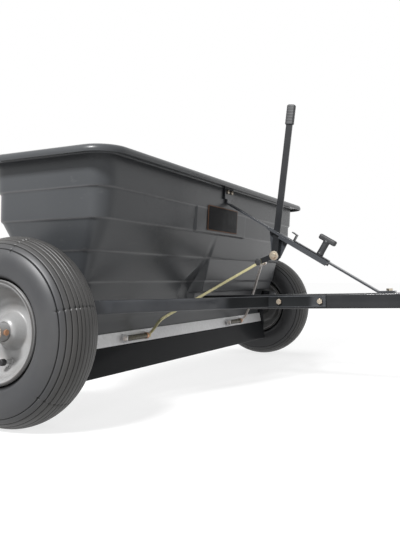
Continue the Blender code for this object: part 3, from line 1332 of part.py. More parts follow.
def make_stop(stop_carrier, knob_carrier):
    """The sliding stop strip with its upturned hook, its bolt and the T-shaped knob."""
    sheet = STOP_SHEET
    seat = FIT
    rear = strut_place(STOP_REAR, seat)
    front = strut_place(STOP_FRONT, seat)
    hook_top = rear + STRUT_NORMAL * STOP_HOOK_HEIGHT
    hook_end = hook_top - STRUT_DIRECTION * STOP_HOOK_LENGTH + STRUT_NORMAL * 0.001
    line = [(point.y, point.z) for point in (front, rear, hook_top, hook_end)]
    outline = thick_line(line, sheet)
    stop = finish(side_plate(outline, STOP_WIDTH, LEVER_X), "flow_stop", "black_paint", stop_carrier)
    foot = strut_place(KNOB_Y, 0.0)
    hole = cylinders([(foot - STRUT_NORMAL * 0.01, foot + STRUT_NORMAL * 0.01,
                       SMALL_BOLT_RADIUS + BOLT_FIT)], 10)
    cut(stop, as_cutter(hole, "stop_bolt_hole"))
    under = -STRUT_THICKNESS - 2 * FIT - CHANNEL_SHEET
    thread = sheet + 0.016
    stud = bolt(foot + STRUT_NORMAL * under, foot + STRUT_NORMAL * thread, SMALL_BOLT_RADIUS,
                SMALL_HEAD_RADIUS + 0.001, SMALL_HEAD, nut=0.0, sides=8)
    finish(stud, "stop_bolt", "bright_zinc", stop_carrier)
    base = foot + STRUT_NORMAL * (seat + sheet + FIT)
    top = base + STRUT_NORMAL * KNOB_POST_HEIGHT
    knob = finish(cylinders([(base, top, KNOB_POST_RADIUS)], 12), "t_knob", "black_plastic", knob_carrier)
    half_l, half_w, half_h = KNOB_BAR_LENGTH / 2, KNOB_BAR_WIDTH / 2, KNOB_BAR_HEIGHT / 2
    bar = box_between((-half_l, -half_w, -half_h), (half_l, half_w, half_h))
    bevel = bar.modifiers.new("Bevel", 'BEVEL')
    bevel.width = 0.0025
    bevel.segments = 2
    place = facing(STRUT_DIRECTION, (1, 0, 0), top + STRUT_NORMAL * (half_h - 0.001))
    joined(knob, bar, "knob_bar")
    bar.matrix_local = place
    bore = cylinders([(base - STRUT_NORMAL * 0.01, base + STRUT_NORMAL * 0.018,
                       SMALL_BOLT_RADIUS + BOLT_FIT)], 10)
    cut(knob, as_cutter(bore, "knob_bore"))


# Lever and links

def rotated(outline, centre, angle):
    """Turn a (y, z) outline about a point; a positive angle takes +z towards -y."""
    cosine, sine = math.cos(angle), math.sin(angle)
    return [(centre[0] + y * cosine - z * sine, centre[1] + y * sine + z * cosine) for y, z in outline]


def make_lever(carrier):
    """The bent lever: a long bar, a short arm to the links, and a boss round the pivot."""
    centre = (PIVOT_Y, PIVOT_HEIGHT)
    half = LEVER_WIDTH / 2
    bar = rotated(rectangle_points((-half, 0.0), (half, LEVER_LENGTH)), centre, LEVER_TILT)
    lever = finish(side_plate(bar, LEVER_THICKNESS, LEVER_X), "lever", "black_paint", carrier)
    half = ARM_WIDTH / 2
    arm = rectangle_points((0.0, -half), (ARM_LENGTH, half))
    for i in range(1, 6):
        angle = -math.pi / 2 + math.pi * i / 6
        arm.insert(1 + i, (ARM_LENGTH + half * math.cos(angle), half * math.sin(angle)))
    arm = rotated(arm, centre, ARM_ANGLE)
    joined(lever, side_plate(arm, LEVER_THICKNESS, LEVER_X), "lever_arm")
    boss = circle_points(centre, LEVER_BOSS_RADIUS - 0.0005, 20)
    joined(lever, side_plate(boss, LEVER_THICKNESS, LEVER_X), "lever_boss")
    rods = [((-0.02, PIVOT_Y, PIVOT_HEIGHT), (0.02, PIVOT_Y, PIVOT_HEIGHT), BOLT_RADIUS + RUN),
            ((-0.02, ARM_END.y, ARM_END.z), (0.02, ARM_END.y, ARM_END.z), LINK_PIN_RADIUS + BOLT_FIT)]
    cut(lever, as_cutter(cylinders(rods, 12), "lever_holes"))
    make_grip(carrier)
    start = LEVER_NEAR - FIT - PIVOT_WASHER
    end = STRUT_WIDTH / 2
    pivot = bolt((start, PIVOT_Y, PIVOT_HEIGHT), (end, PIVOT_Y, PIVOT_HEIGHT), sides=8)
    finish(pivot, "pivot_bolt", "bright_zinc")
    flange = cylinders([((start - FIT / 2, PIVOT_Y, PIVOT_HEIGHT), (LEVER_NEAR - FIT, PIVOT_Y, PIVOT_HEIGHT),
                         PIVOT_WASHER_RADIUS)], ROUND_SIDES)
    joined(pivot, flange, "pivot_bolt_flange")
    bore = BOLT_RADIUS + FIT
    near, far = LEVER_FAR + FIT, STRUT_WIDTH / 2 - CHANNEL_SHEET - FIT
    spacer = [(near, bore), (far, bore), (far, bore + 0.003), (near, bore + 0.003)]
    finish(about_pivot(spacer, 12), "pivot_spacer", "bright_zinc")


def about_pivot(profile, steps):
    """Turn an (x, radius) profile about the lever's pivot."""
    rings = []
    for i in range(steps):
        angle = 2 * math.pi * i / steps
        rings.append([(x, PIVOT_Y + r * math.cos(angle), PIVOT_HEIGHT + r * math.sin(angle))
                      for x, r in profile])
    return loft(rings, closed=True)


def make_grip(carrier):
    """The plastic grip over the lever's top end."""
    up = Vector((0, -math.sin(LEVER_TILT), math.cos(LEVER_TILT)))
    across = Vector((0, math.cos(LEVER_TILT), math.sin(LEVER_TILT)))
    cap = 0.004
    top = PIVOT + Vector((LEVER_X, 0, 0)) + up * (LEVER_LENGTH + FIT + cap)
    middle = top - up * GRIP_LENGTH / 2
    half = Vector((GRIP_WIDTH / 2, GRIP_LENGTH / 2, GRIP_THICKNESS / 2))
    grip = box_between(-half, half)
    bevel = grip.modifiers.new("Bevel", 'BEVEL')
    bevel.width = 0.003
    bevel.segments = 2
    grip = finish(grip, "lever_grip", "black_plastic", carrier)
    place = facing(across, up, middle)
    grip.matrix_local = Matrix.Translation(-Vector(carrier["from_axle"])) @ place
    pocket = Vector((LEVER_WIDTH / 2 + FIT, GRIP_LENGTH / 2, LEVER_THICKNESS / 2 + FIT))
    hollow = box_between(-pocket, pocket)
    cutter = as_cutter(hollow, "grip_pocket")
    cutter.matrix_local = Matrix.Translation(-up * cap) @ place
    cut(grip, cutter)


def link_frame():
    """Direction and length from the lever arm's end to the link bolt, in the Y-Z plane."""
    lower = link_bolt_place()
    run = Vector((0, lower[0], lower[1])) - ARM_END
    return run.normalized(), run.length


def link_bolt_place():
    """The link bolts' axis, as (y, z), in front of the closure plate's lip."""
    z = LIP_TOP - LINK_BOLT_DROP
    return lip_y(z) - LINK_BOLT_STANDOFF, z


def make_link(upper_x, knee_x, lower_x, name, carrier):
    """A bent flat link with an eye at each end, drawn in the plane of X and its own run."""
    along, length = link_frame()
    points = [(upper_x, 0.0), (upper_x, LINK_EYE_FLAT), (knee_x, length - LINK_KNEE_DROP),
              (lower_x, length - LINK_LOWER_FLAT), (lower_x, length)]
    place = facing((1, 0, 0), along, ARM_END)
    strip = flat_plate(centred_line(points, LINK_SHEET), LINK_WIDTH, place)
    link = finish(strip, name, "yellow_zinc", carrier)
    upper_radius = LINK_PIN_RADIUS + LINK_EYE_SLACK
    lower_radius = LINK_PIN_RADIUS + RUN
    half = LINK_SHEET / 2 - LINK_EYE_STEP
    y, z = link_bolt_place()
    eyes = cylinders([((upper_x - half, ARM_END.y, ARM_END.z), (upper_x + half, ARM_END.y, ARM_END.z),
                       upper_radius + LINK_EYE_WALL),
                      ((lower_x - half, y, z), (lower_x + half, y, z), lower_radius + LINK_EYE_WALL)], 12)
    joined(link, eyes, name + "_eyes")
    rods = [((upper_x - 0.02, ARM_END.y, ARM_END.z), (upper_x + 0.02, ARM_END.y, ARM_END.z), upper_radius),
            ((lower_x - 0.02, y, z), (lower_x + 0.02, y, z), lower_radius)]
    cut(link, as_cutter(cylinders(rods, 12), name + "_holes"))


def make_link_pin(carrier):
    """The pin through the lever arm's end: two heads, and a shoulder between the arm and the far link."""
    y, z = ARM_END.y, ARM_END.z
    near = LEVER_NEAR - 3 * FIT - LINK_SHEET
    shoulder = LEVER_FAR + FIT + LINK_PIN_SHOULDER
    far = shoulder + 2 * FIT + LINK_SHEET
    rings = []
    head = LINK_PIN_RADIUS + LINK_EYE_SLACK + 0.0015
    for x, radius in ((near - FIT - 0.002, head), (near - FIT, head), (near - FIT, LINK_PIN_RADIUS),
                      (LEVER_FAR + FIT, LINK_PIN_RADIUS), (LEVER_FAR + FIT, LINK_PIN_SHOULDER_RADIUS),
                      (shoulder, LINK_PIN_SHOULDER_RADIUS), (shoulder, LINK_PIN_RADIUS),
                      (far, LINK_PIN_RADIUS), (far, head), (far + 0.002, head)):
        rings.append([(x, y + radius * math.cos(2 * math.pi * i / 12), z + radius * math.sin(2 * math.pi * i / 12))
                      for i in range(12)])
    finish(loft(rings), "link_pin", "bright_zinc", carrier)


def make_link_bracket(link_x, name, carrier):
    """A bracket on the closure plate's lip: a base, two ears, and a bolt with a sleeve between them."""
    y, z = link_bolt_place()
    right = link_x - LINK_SHEET / 2 - 2 * FIT
    left = right - BRACKET_LENGTH
    low = z - BRACKET_HEIGHT / 2
    high = z + BRACKET_HEIGHT / 2
    sheet = BRACKET_SHEET
    base = [(lip_y(low) - FIT, low), (lip_y(high) - FIT, high), (lip_y(high) - FIT - sheet, high),
            (lip_y(low) - FIT - sheet, low)]
    middle = (left + right) / 2
    bracket = finish(side_plate(base, BRACKET_LENGTH, middle), name + "_link_bracket", "galvanised", carrier)
    front = y - (BRACKET_EAR_REACH - LINK_BOLT_STANDOFF)
    ear = [(lip_y(low) - FIT - sheet / 2, low), (lip_y(high) - FIT - sheet / 2, high),
           (front, z + BRACKET_HEIGHT / 3), (front, z - BRACKET_HEIGHT / 3)]
    for x, label in ((left + sheet / 2, "_left_ear"), (right - sheet / 2, "_right_ear")):
        joined(bracket, side_plate(ear, sheet, x), name + label)
    rods = [((left - 0.01, y, z), (right + 0.01, y, z), LINK_PIN_RADIUS + BOLT_FIT)]
    cut(bracket, as_cutter(cylinders(rods, 12), name + "_bracket_holes"))
    outer = link_x + LINK_SHEET / 2 + FIT
    pin = bolt((outer, y, z), (left, y, z), LINK_PIN_RADIUS, SMALL_HEAD_RADIUS, SMALL_HEAD,
               nut=SMALL_HEAD, tail=0.002, sides=8)
    finish(pin, name + "_link_bolt", "bright_zinc", carrier)
    rings = []
    bore = LINK_PIN_RADIUS + FIT
    start, end = left + sheet + FIT, right - sheet - FIT
    for i in range(8):
        angle = 2 * math.pi * i / 8
        ring = []
        for x, r in ((start, bore), (end, bore), (end, SLEEVE_RADIUS), (start, SLEEVE_RADIUS)):
            ring.append((x, y + r * math.cos(angle), z + r * math.sin(angle)))
        rings.append(ring)
    finish(loft(rings, closed=True), name + "_link_sleeve", "black_plastic", carrier)


AXLE_LINE = empty("axle_line", (0, 0, 0), CHASSIS)
FAR_WHEEL_LINE = empty("far_wheel_line", (WHEEL_X, 0, 0), CHASSIS)
LEVER_PIVOT = empty("lever_pivot", PIVOT, CHASSIS)
CLOSURE_SLIDE = empty("closure_slide", (0, 0, CLOSURE_TOP), CHASSIS)
LINK_BOLT_Y, LINK_BOLT_Z = link_bolt_place()
NEAR_LINK_HINGE = empty("near_link_hinge", (NEAR_LINK_X, LINK_BOLT_Y, LINK_BOLT_Z), CLOSURE_SLIDE)
FAR_LINK_HINGE = empty("far_link_hinge", (FAR_LINK_X, LINK_BOLT_Y, LINK_BOLT_Z), CLOSURE_SLIDE)
STOP_SLIDE = empty("stop_slide", strut_place(KNOB_Y, 0.0), CHASSIS)
KNOB_AXIS = empty("knob_axis", strut_place(KNOB_Y, KNOB_POST_HEIGHT / 2), STOP_SLIDE)
HITCH_PIN_AXIS = empty("hitch_pin_axis", hitch_pin_centre(), CHASSIS)
LEVER_SLOT = as_cutter(slot_box(LEVER_SLOT_REAR, LEVER_SLOT_FRONT,
                                LEVER_THICKNESS / 2 + SLOT_SIDE_CLEARANCE, LEVER_X), "lever_slot")
STOP_SLOT = as_cutter(slot_box(stop_slot_ends()[0], stop_slot_ends()[1], SMALL_BOLT_RADIUS + BOLT_FIT,
                               0.0), "stop_slot")

make_hopper()
make_metering_plate()
make_closure_plate(CLOSURE_SLIDE)
make_end_plates()
make_axle_line(AXLE_LINE)
make_wheel(-1, "near", AXLE_LINE)
make_wheel(1, "far", FAR_WHEEL_LINE)
make_deflector()
make_tongue()
make_brace(-1, "near_brace")
make_brace(1, "far_brace")
make_hitch(HITCH_PIN_AXIS)
make_strut()
make_channel()
make_stop(STOP_SLIDE, KNOB_AXIS)
make_lever(LEVER_PIVOT)
make_link(LEVER_NEAR - 2 * FIT - LINK_SHEET / 2, NEAR_LINK_KNEE_X, NEAR_LINK_X, "near_link",
          NEAR_LINK_HINGE)
make_link(LEVER_FAR + 2 * FIT + LINK_PIN_SHOULDER + LINK_SHEET / 2, FAR_LINK_KNEE_X, FAR_LINK_X,
          "far_link", FAR_LINK_HINGE)
make_link_pin(LEVER_PIVOT)
make_link_bracket(NEAR_LINK_X, "near", CLOSURE_SLIDE)
make_link_bracket(FAR_LINK_X, "far", CLOSURE_SLIDE)

for piece in PARTS.objects:
    if piece.type == 'MESH':
        piece.data.shade_smooth()
        piece.data.set_sharp_from_angle(angle=math.radians(35))
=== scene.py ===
"""Looks for the tow-behind drop spreader.

Metres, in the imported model's frame: +X along the axle, the tongue towards -Y, the
ground at Z = 0.  Sizes are given from the middle of the axle.  New pieces are surfaces
worked out as whole numpy arrays.  Pressed and cut plates are copies of their CAD
solids with the edges eased.
"""
import json
import math

import bmesh
import bpy
import numpy as np
from mathutils import Matrix, Vector
from mathutils.geometry import tessellate_polygon


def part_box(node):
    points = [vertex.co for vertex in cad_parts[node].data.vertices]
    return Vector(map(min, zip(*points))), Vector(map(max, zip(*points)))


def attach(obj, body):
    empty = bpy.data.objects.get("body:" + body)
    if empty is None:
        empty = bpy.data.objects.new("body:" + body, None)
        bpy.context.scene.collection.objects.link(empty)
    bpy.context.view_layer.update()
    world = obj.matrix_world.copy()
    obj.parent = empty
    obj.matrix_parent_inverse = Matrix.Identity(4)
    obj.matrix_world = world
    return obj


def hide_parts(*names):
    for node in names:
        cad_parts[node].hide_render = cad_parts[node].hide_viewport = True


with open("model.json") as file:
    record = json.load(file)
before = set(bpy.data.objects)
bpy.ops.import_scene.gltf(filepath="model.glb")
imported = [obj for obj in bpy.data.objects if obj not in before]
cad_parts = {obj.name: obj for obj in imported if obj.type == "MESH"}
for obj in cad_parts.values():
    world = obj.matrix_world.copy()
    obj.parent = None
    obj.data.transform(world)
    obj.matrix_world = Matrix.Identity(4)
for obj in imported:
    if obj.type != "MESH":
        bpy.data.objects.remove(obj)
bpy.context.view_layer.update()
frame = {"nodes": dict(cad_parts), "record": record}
CARRIER = {node: body for body, nodes in frame["record"]["behaviour"]["bodies"].items()
           for node in nodes}
AXLE = np.array(sum(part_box("axle"), Vector()) / 2)
UP = np.array((0.0, 0.0, 1.0))
ALONG_AXLE = np.array((1.0, 0.0, 0.0))
SIDES = (("near", -1), ("far", 1))

# Sizes, from the middle of the axle
FIT = 0.0003    # play between two pieces
TYRE_RADIUS, TYRE_HALF_WIDTH, TYRE_HALF_SECTION = 0.1651, 0.0555, 0.047
WHEEL_X, HUB_HALF, WASHER = 0.60025, 0.045, 0.0025
HOPPER_TOP, WALL, FOOT_HALF = 0.3303, 0.004, 0.480
WALL_LENGTH, WALL_DEPTH = 0.5345, 0.1405    # half sizes of the hopper below its rim
TONGUE_SLOPE, TONGUE_HEIGHT, TONGUE_DATUM = math.radians(1.54), 0.0329, -0.200
TONGUE_HALF, TONGUE_WALL, TONGUE_FRONT = 0.017, 0.002, -0.905
FORK, STRAP = 0.005, 0.004    # thickness of the hitch's plates and of the braces' flat ends
BRACE_BOLTS = {"rear": -0.2845, "front": -0.384}    # places along Y
HITCH_BOLTS = {"front": -0.887, "rear": -0.843}
STRUT_SLOPE = math.radians(30.84)
STRUT_DATUM = np.array((0.0, -0.340, 0.1667))
STRUT_RUN = np.array((0.0, -math.cos(STRUT_SLOPE), -math.sin(STRUT_SLOPE)))
STRUT_NORMAL = np.array((0.0, -math.sin(STRUT_SLOPE), math.cos(STRUT_SLOPE)))
STOP, KNOB_PLACE = 0.0025, -0.3781    # the stop's thickness, the knob's place along Y
PIVOT = np.array((0.0, -0.267, 0.146))


# Surfaces

def unit(vector):
    """A vector at length one."""
    vector = np.asarray(vector, float)
    return vector / np.linalg.norm(vector, axis=-1, keepdims=True)


def together(*parts):
    """Coordinates of any shapes, spread out over each other, as points."""
    return np.stack(np.broadcast_arrays(*parts), -1)


def around(steps):
    """Angles at equal steps round a full circle."""
    return np.linspace(0, 2 * np.pi, steps, endpoint=False)


def smooth(low, high, value):
    """Rises from 0 to 1 between two values, level at both ends."""
    share = np.clip((value - low) / (high - low), 0, 1)
    return share * share * (3 - 2 * share)


def bell(distance, width):
    """Falls from 1 to 0: e to the power of minus the square of distance over width."""
    return np.exp(-(distance / width) ** 2)


def squared(value, power):
    """A sine or cosine to the power of 2 over another, its sign kept, as in a superellipse."""
    return np.sign(value) * np.abs(value) ** (2 / power)


def softened(line, size, steps=4, closed=True):
    """A line with round corners: each a quadratic curve between two points a size away."""
    line = np.asarray(line, float)
    size = np.broadcast_to(size, len(line))[:, None]
    ends = []
    for shift in (1, -1):
        leg = np.roll(line, shift, 0) - line
        reach = np.linalg.norm(leg, axis=1)[:, None]
        ends.append((line + leg / reach * np.minimum(size, 0.45 * reach))[:, None])
    s = np.linspace(0, 1, steps)[None, :, None]
    curve = (1 - s) ** 2 * ends[0] + 2 * s * (1 - s) * line[:, None] + s ** 2 * ends[1]
    made = (curve if closed else curve[1:-1]).reshape(-1, line.shape[1])
    if not closed:
        made = np.concatenate([line[:1], made, line[-1:]])
    return made[np.append(True, np.linalg.norm(np.diff(made, axis=0), axis=1) > 0.000001)]


def divided(line, longest, closed=False):
    """A line with points put in, so that no step is longer than a length."""
    line = np.asarray(line, float)
    ends = np.concatenate([line, line[:1]]) if closed else line
    steps = np.linalg.norm(np.diff(ends, axis=0), axis=1) / longest
    steps = np.maximum(1, np.ceil(steps)).astype(int)
    place = np.repeat(np.arange(len(steps)), steps)
    share = (np.arange(steps.sum()) - np.repeat(np.cumsum(steps) - steps, steps)) / steps[place]
    made = ends[place] + (ends[place + 1] - ends[place]) * share[:, None]
    return made if closed else np.concatenate([made, ends[-1:]])


def turned(along, radius, centre, axis, steps):
    """Point (i, j) is the centre, plus offset j along the axis, plus radius j at angle i.

    Offsets and radii may also be given for every angle.
    """
    axis = unit(axis)
    side = unit(np.cross(axis, UP if abs(axis[2]) < 0.9 else ALONG_AXLE))
    angle = around(steps)[:, None, None]
    ray = np.cos(angle) * side + np.sin(angle) * np.cross(side, axis)
    return np.asarray(centre, float) + along[..., None] * axis + radius[..., None] * ray


def placed(path, section, side, lift):
    """A section round each point of a path: its coordinates go to the side and the lift."""
    return path[:, None] + section[..., :1] * side + section[..., 1:] * lift


def carried(path, section, up):
    """A section carried along a path, square to it."""
    along = unit(np.gradient(path, axis=0))
    side = unit(np.cross(along, up))
    return placed(path, section, side[:, None], np.cross(side, along)[:, None])


def circle(radius, count):
    """A round outline."""
    return radius * together(np.cos(around(count)), np.sin(around(count)))


def oblong(width, height, corner, steps=4):
    """A rectangle's outline with round corners."""
    x, y = width / 2, height / 2
    return softened([(-x, -y), (x, -y), (x, y), (-x, y)], corner, steps)


def inset(loop, distance):
    """A closed outline moved to its left, square to each side and mitred where two meet."""
    ahead = unit(np.roll(loop, -1, 0) - loop)
    behind = unit(loop - np.roll(loop, 1, 0))
    left = together(-ahead[:, 1], ahead[:, 0])
    middle = unit(left + together(-behind[:, 1], behind[:, 0]))
    return loop + middle * distance / np.maximum((middle * left).sum(1, keepdims=True), 0.3)


def sheet_profile(line, thickness):
    """A pressed sheet's section: a line with half the thickness each side, and round ends."""
    along = unit(np.gradient(line, axis=0))
    left = together(-along[:, 1], along[:, 0]) * thickness / 2
    turn = np.linspace(0, np.pi, 7)[1:-1, None]
    start = line[0] + np.cos(turn) * -left[0] - np.sin(turn) * along[0] * thickness / 2
    end = line[-1] + np.cos(turn) * left[-1] + np.sin(turn) * along[-1] * thickness / 2
    return np.concatenate([line + left, end, (line - left)[::-1], start])


class Shell:
    """Collects surfaces and makes one mesh of them."""

    def __init__(self):
        self.points, self.faces, self.wear, self.count = [], [], [], 0

    def raw(self, points, faces, wear=0.0):
        self.points.append(points.reshape(-1, 3))
        self.faces += (np.asarray(faces) + self.count).tolist()
        self.count += len(self.points[-1])
        self.wear.append(np.broadcast_to(np.ravel(wear), len(self.points[-1])))
        return self

    def grid(self, points, wrap_rows=False, wrap_cols=False, wear=0.0):
        """Quads between neighbouring points of a grid; a wrapped direction closes on itself."""
        rows, cols = points.shape[:2]
        i, j = np.meshgrid(np.arange(rows - (not wrap_rows)),
                           np.arange(cols - (not wrap_cols)), indexing="ij")
        i2, j2 = (i + 1) % rows, (j + 1) % cols
        quads = together(i * cols + j, i * cols + j2, i2 * cols + j2, i2 * cols + j)
        return self.raw(points, quads.reshape(-1, 4), wear)

    def cap(self, ring):
        """Triangles from a ring's points to its middle."""
        count = len(ring)
        i = np.arange(count)
        return self.raw(np.concatenate([ring, ring.mean(0, keepdims=True)]),
                        together(i, (i + 1) % count, count))

    def tube(self, points, wear=0.0):
        """A grid closed round its outline, with a cap on each end."""
        return self.grid(points, wrap_cols=True, wear=wear).cap(points[0]).cap(points[-1])

    def ring(self, profile, centre, axis, steps):
        """A closed profile turned full circle."""
        points = turned(*np.transpose(profile), centre, axis, steps)
        return self.grid(points, wrap_rows=True, wrap_cols=True)

    def band(self, low, high, bore, radius, edge, centre, axis=ALONG_AXLE, steps=40):
        """A ring whose section is a rectangle with round corners."""
        section = [(low, bore), (high, bore), (high, radius), (low, radius)]
        return self.ring(softened(section, edge), centre, axis, steps)

    def spindle(self, profile, centre, axis, steps):
        """An open profile turned full circle, its two ends on the axis."""
        return self.grid(turned(*np.transpose(profile), centre, axis, steps), wrap_rows=True)

    def plate(self, outline, thickness, centre, x_axis, y_axis, edge):
        """A flat plate, its outline pulled in along a quarter circle at both faces."""
        turn = np.linspace(-np.pi / 2, 0, 4)
        pull, rise = edge * (1 - np.cos(turn)), thickness / 2 - edge * (1 + np.sin(turn))
        rims = np.stack([inset(outline, distance) for distance in (*pull, *pull[::-1])])
        rise = np.concatenate([-rise, rise[::-1]])[:, None] * np.cross(x_axis, y_axis)
        points = placed(centre + rise, rims, x_axis, y_axis)
        faces = tessellate_polygon([[Vector((*point, 0)) for point in rims[0]]])
        self.grid(points, wrap_cols=True)
        return self.raw(points[0], faces).raw(points[-1], faces)

    def piece(self, name, finish, *nodes, body=None, crease=35):
        """The mesh as a piece of the object, in the place of the CAD nodes it stands for."""
        mesh = bpy.data.meshes.new(name)
        mesh.from_pydata(np.concatenate(self.points).tolist(), [], self.faces)
        # The attribute holds real edge wear and also painted highlights and painted shade.
        mesh.attributes.new("wear", "FLOAT", "POINT").data.foreach_set(
            "value", np.concatenate(self.wear).astype(np.float32))
        return dressed(mesh, name, finish, nodes, body, crease)


def dressed(mesh, name, finish, nodes, body, crease):
    """Closes a mesh, turns its faces outwards and hangs it on its body."""
    data = bmesh.new()
    data.from_mesh(mesh)
    bmesh.ops.remove_doubles(data, verts=data.verts, dist=0.000002)
    bmesh.ops.recalc_face_normals(data, faces=data.faces)
    data.to_mesh(mesh)
    data.free()
    mesh.shade_smooth()
    mesh.set_sharp_from_angle(angle=math.radians(crease))
    mesh.materials.clear()
    mesh.materials.append(finish)
    obj = linked(name, mesh)
    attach(obj, body or CARRIER[nodes[0]])
    if nodes:
        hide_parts(*nodes)
    return obj


def linked(name, data):
    """A new object in the scene."""
    obj = bpy.data.objects.new(name, data)
    bpy.context.scene.collection.objects.link(obj)
    return obj


def eased(node, name, finish, width, segments=2):
    """A copy of a CAD plate, doubles merged and flat faces joined, with its edges rounded."""
    mesh = frame["nodes"][node].data.copy()
    mesh.name = name
    data = bmesh.new()
    data.from_mesh(mesh)
    bmesh.ops.remove_doubles(data, verts=data.verts, dist=0.000005)
    bmesh.ops.dissolve_limit(data, angle_limit=math.radians(0.5), verts=data.verts,
                             edges=data.edges)
    data.to_mesh(mesh)
    data.free()
    obj = dressed(mesh, name, finish, (node,), None, 40)
    bevel = obj.modifiers.new("Bevel", "BEVEL")
    bevel.width, bevel.segments = width, segments
    bevel.limit_method, bevel.angle_limit = "ANGLE", math.radians(32)
    bevel.harden_normals = True


# Shader arithmetic

class Wire:
    """A shader socket that takes part in arithmetic: each operator adds its Math node."""

    def __init__(self, nodes, socket):
        self.nodes, self.socket = nodes, socket

    def math(self, operation, first, second):
        return self.nodes.add("ShaderNodeMath", {0: first, 1: second}, operation=operation)

    def __add__(self, other):
        return self.math("ADD", self, other)

    def __sub__(self, other):
        return self.math("SUBTRACT", self, other)

    def __rsub__(self, other):
        return self.math("SUBTRACT", other, self)

    def __mul__(self, other):
        return self.math("MULTIPLY", self, other)

    def __pow__(self, other):
        return self.math("POWER", self, other)

    def widest(self, other):
        return self.math("MAXIMUM", self, other)

    def between(self, low, high, start=0.0, end=1.0):
        """A level rise from one value to another while this goes from low to high."""
        return self.nodes.add("ShaderNodeMapRange", {
            "Value": self, "From Min": low, "From Max": high, "To Min": start, "To Max": end},
            interpolation_type="SMOOTHSTEP")


class Nodes:
    """A node tree in the making."""

    def __init__(self, tree):
        self.tree = tree

    def feed(self, socket, value):
        if isinstance(value, Wire):
            self.tree.links.new(value.socket, socket)
        elif socket.type == "RGBA":
            socket.default_value = (*value, 1.0)
        else:
            socket.default_value = value

    def add(self, kind, values=None, output=0, **settings):
        """Any node: its settings first, then the values or links of its sockets."""
        node = self.tree.nodes.new(kind)
        for setting, value in settings.items():
            setattr(node, setting, value)
        for key, value in (values or {}).items():
            self.feed(node.inputs[key], value)
        return Wire(self, node.outputs[output])

    def seen(self):
        """1 for rays from the camera, straight or by a mirror or glass, and 0 for the others."""
        camera, glossy, through = (self.add("ShaderNodeLightPath", output=f"Is {kind} Ray")
                                   for kind in ("Camera", "Glossy", "Transmission"))
        return camera.widest(glossy).widest(through)


class Finish(Nodes):
    """A material in the making."""

    def __init__(self, name):
        self.material = bpy.data.materials.new(name)
        self.material.use_nodes = True
        super().__init__(self.material.node_tree)
        self.shader = self.tree.nodes["Principled BSDF"]
        self.place = self.add("ShaderNodeTexCoord", output="Object")

    def noise(self, scale, detail=2.0, roughness=0.5, stretch=None):
        place = self.place if stretch is None else self.add(
            "ShaderNodeMapping", {"Vector": self.place, "Scale": stretch})
        return self.add("ShaderNodeTexNoise", {"Vector": place, "Scale": scale,
                                               "Detail": detail, "Roughness": roughness})

    def cells(self, scale):
        """Angular cells, each with a value of its own."""
        cells = self.add("ShaderNodeTexVoronoi", {"Vector": self.place, "Scale": scale},
                         output="Color")
        return self.add("ShaderNodeSeparateColor", {"Color": cells})

    def mix(self, share, first, second):
        return self.add("ShaderNodeMix", {0: share, 6: first, 7: second}, output=2,
                        data_type="RGBA")

    def from_axle(self):
        """Distance from the axle's line: the root of the sum of the squares of Y and Z."""
        y, z = (self.add("ShaderNodeSeparateXYZ", {0: self.place}, output=axis)
                for axis in ("Y", "Z"))
        return ((y - AXLE[1]) ** 2 + (z - AXLE[2]) ** 2) ** 0.5

    def painted_light_and_wear(self):
        """The piece's mesh attribute: real wear on some edges, painted highlights and painted
        shade on others.
        """
        return self.add("ShaderNodeAttribute", attribute_name="wear", output="Fac")

    def bump(self, height, depth, strength, below=None):
        values = {"Height": height, "Distance": depth, "Strength": strength}
        if below is not None:
            values["Normal"] = below
        return self.add("ShaderNodeBump", values)

    def done(self, **sockets):
        """Feeds the shader: base_color is its Base Color, and so on."""
        for key, value in sockets.items():
            key = key.replace("_", " ").title().replace("Ior", "IOR")
            self.feed(self.shader.inputs[key], value)
        return self.material


def moulded_plastic():
    """Rotomoulded polyethylene: cloudy dark grey, fine grain, soft waves, faint scuffs and pale
    painted highlights.
    """
    f = Finish("moulded_black_polyethylene")
    cloud = f.noise(2.6, 3.0, 0.55)
    grain = f.noise(1300.0, 2.0, 0.6)
    wave = f.noise(9.0, 1.0, 0.4)
    scuffs = f.noise(34.0, 4.0, 0.7, (0.35, 1.0, 2.4)).between(0.60, 0.74)
    colour = f.mix(cloud.between(0.3, 0.7), (0.044, 0.047, 0.051), (0.057, 0.060, 0.064))
    colour = f.mix(scuffs * 0.25, colour, (0.115, 0.115, 0.115))
    # Pale painted highlights along the hopper's ledges, and a paler band along its rim's top.
    colour = f.mix(f.painted_light_and_wear() * 0.55, colour, (0.17, 0.17, 0.175))
    rough = cloud.between(0.25, 0.75, 0.24, 0.32) + grain * 0.06
    normal = f.bump(grain, 0.00005, 0.5, f.bump(wave, 0.0012, 0.18))
    return f.done(base_color=colour, roughness=rough, normal=normal, specular_ior_level=0.35)


def black_paint(name, shade, shine):
    """Black powder coat: orange peel, a little dust, bare grey where an edge is worn, and painted
    shade, darker and duller, where the mark is below zero.
    """
    f = Finish(name)
    peel = f.noise(420.0, 2.0, 0.5)
    cloud = f.noise(11.0, 3.0, 0.6)
    chips = f.noise(160.0, 3.0, 0.6).between(0.60, 0.66)
    dark, light = np.array(((0.012, 0.013, 0.015), (0.019, 0.020, 0.022))) * shade
    colour = f.mix(cloud.between(0.3, 0.75), dark, light)
    colour = f.mix(f.painted_light_and_wear() * chips, colour, (0.30, 0.30, 0.30))
    # Where the mark is below zero: painted shade, a darker colour with more roughness and less
    # coat.
    dull_and_painted_shade = (f.painted_light_and_wear() * -1).between(0.0, 1.0)
    colour = f.mix(dull_and_painted_shade, colour, (0.012, 0.013, 0.014))
    rough = cloud.between(0.3, 0.7, 0.26, 0.36) + peel * 0.05 + dull_and_painted_shade * 0.4
    return f.done(base_color=colour, roughness=rough + 0.2 * (1 - shine),
                  normal=f.bump(peel, 0.00008, 0.45), specular_ior_level=0.18 * shine,
                  coat_weight=(1 - dull_and_painted_shade) * 0.35 * shine, coat_roughness=0.12)


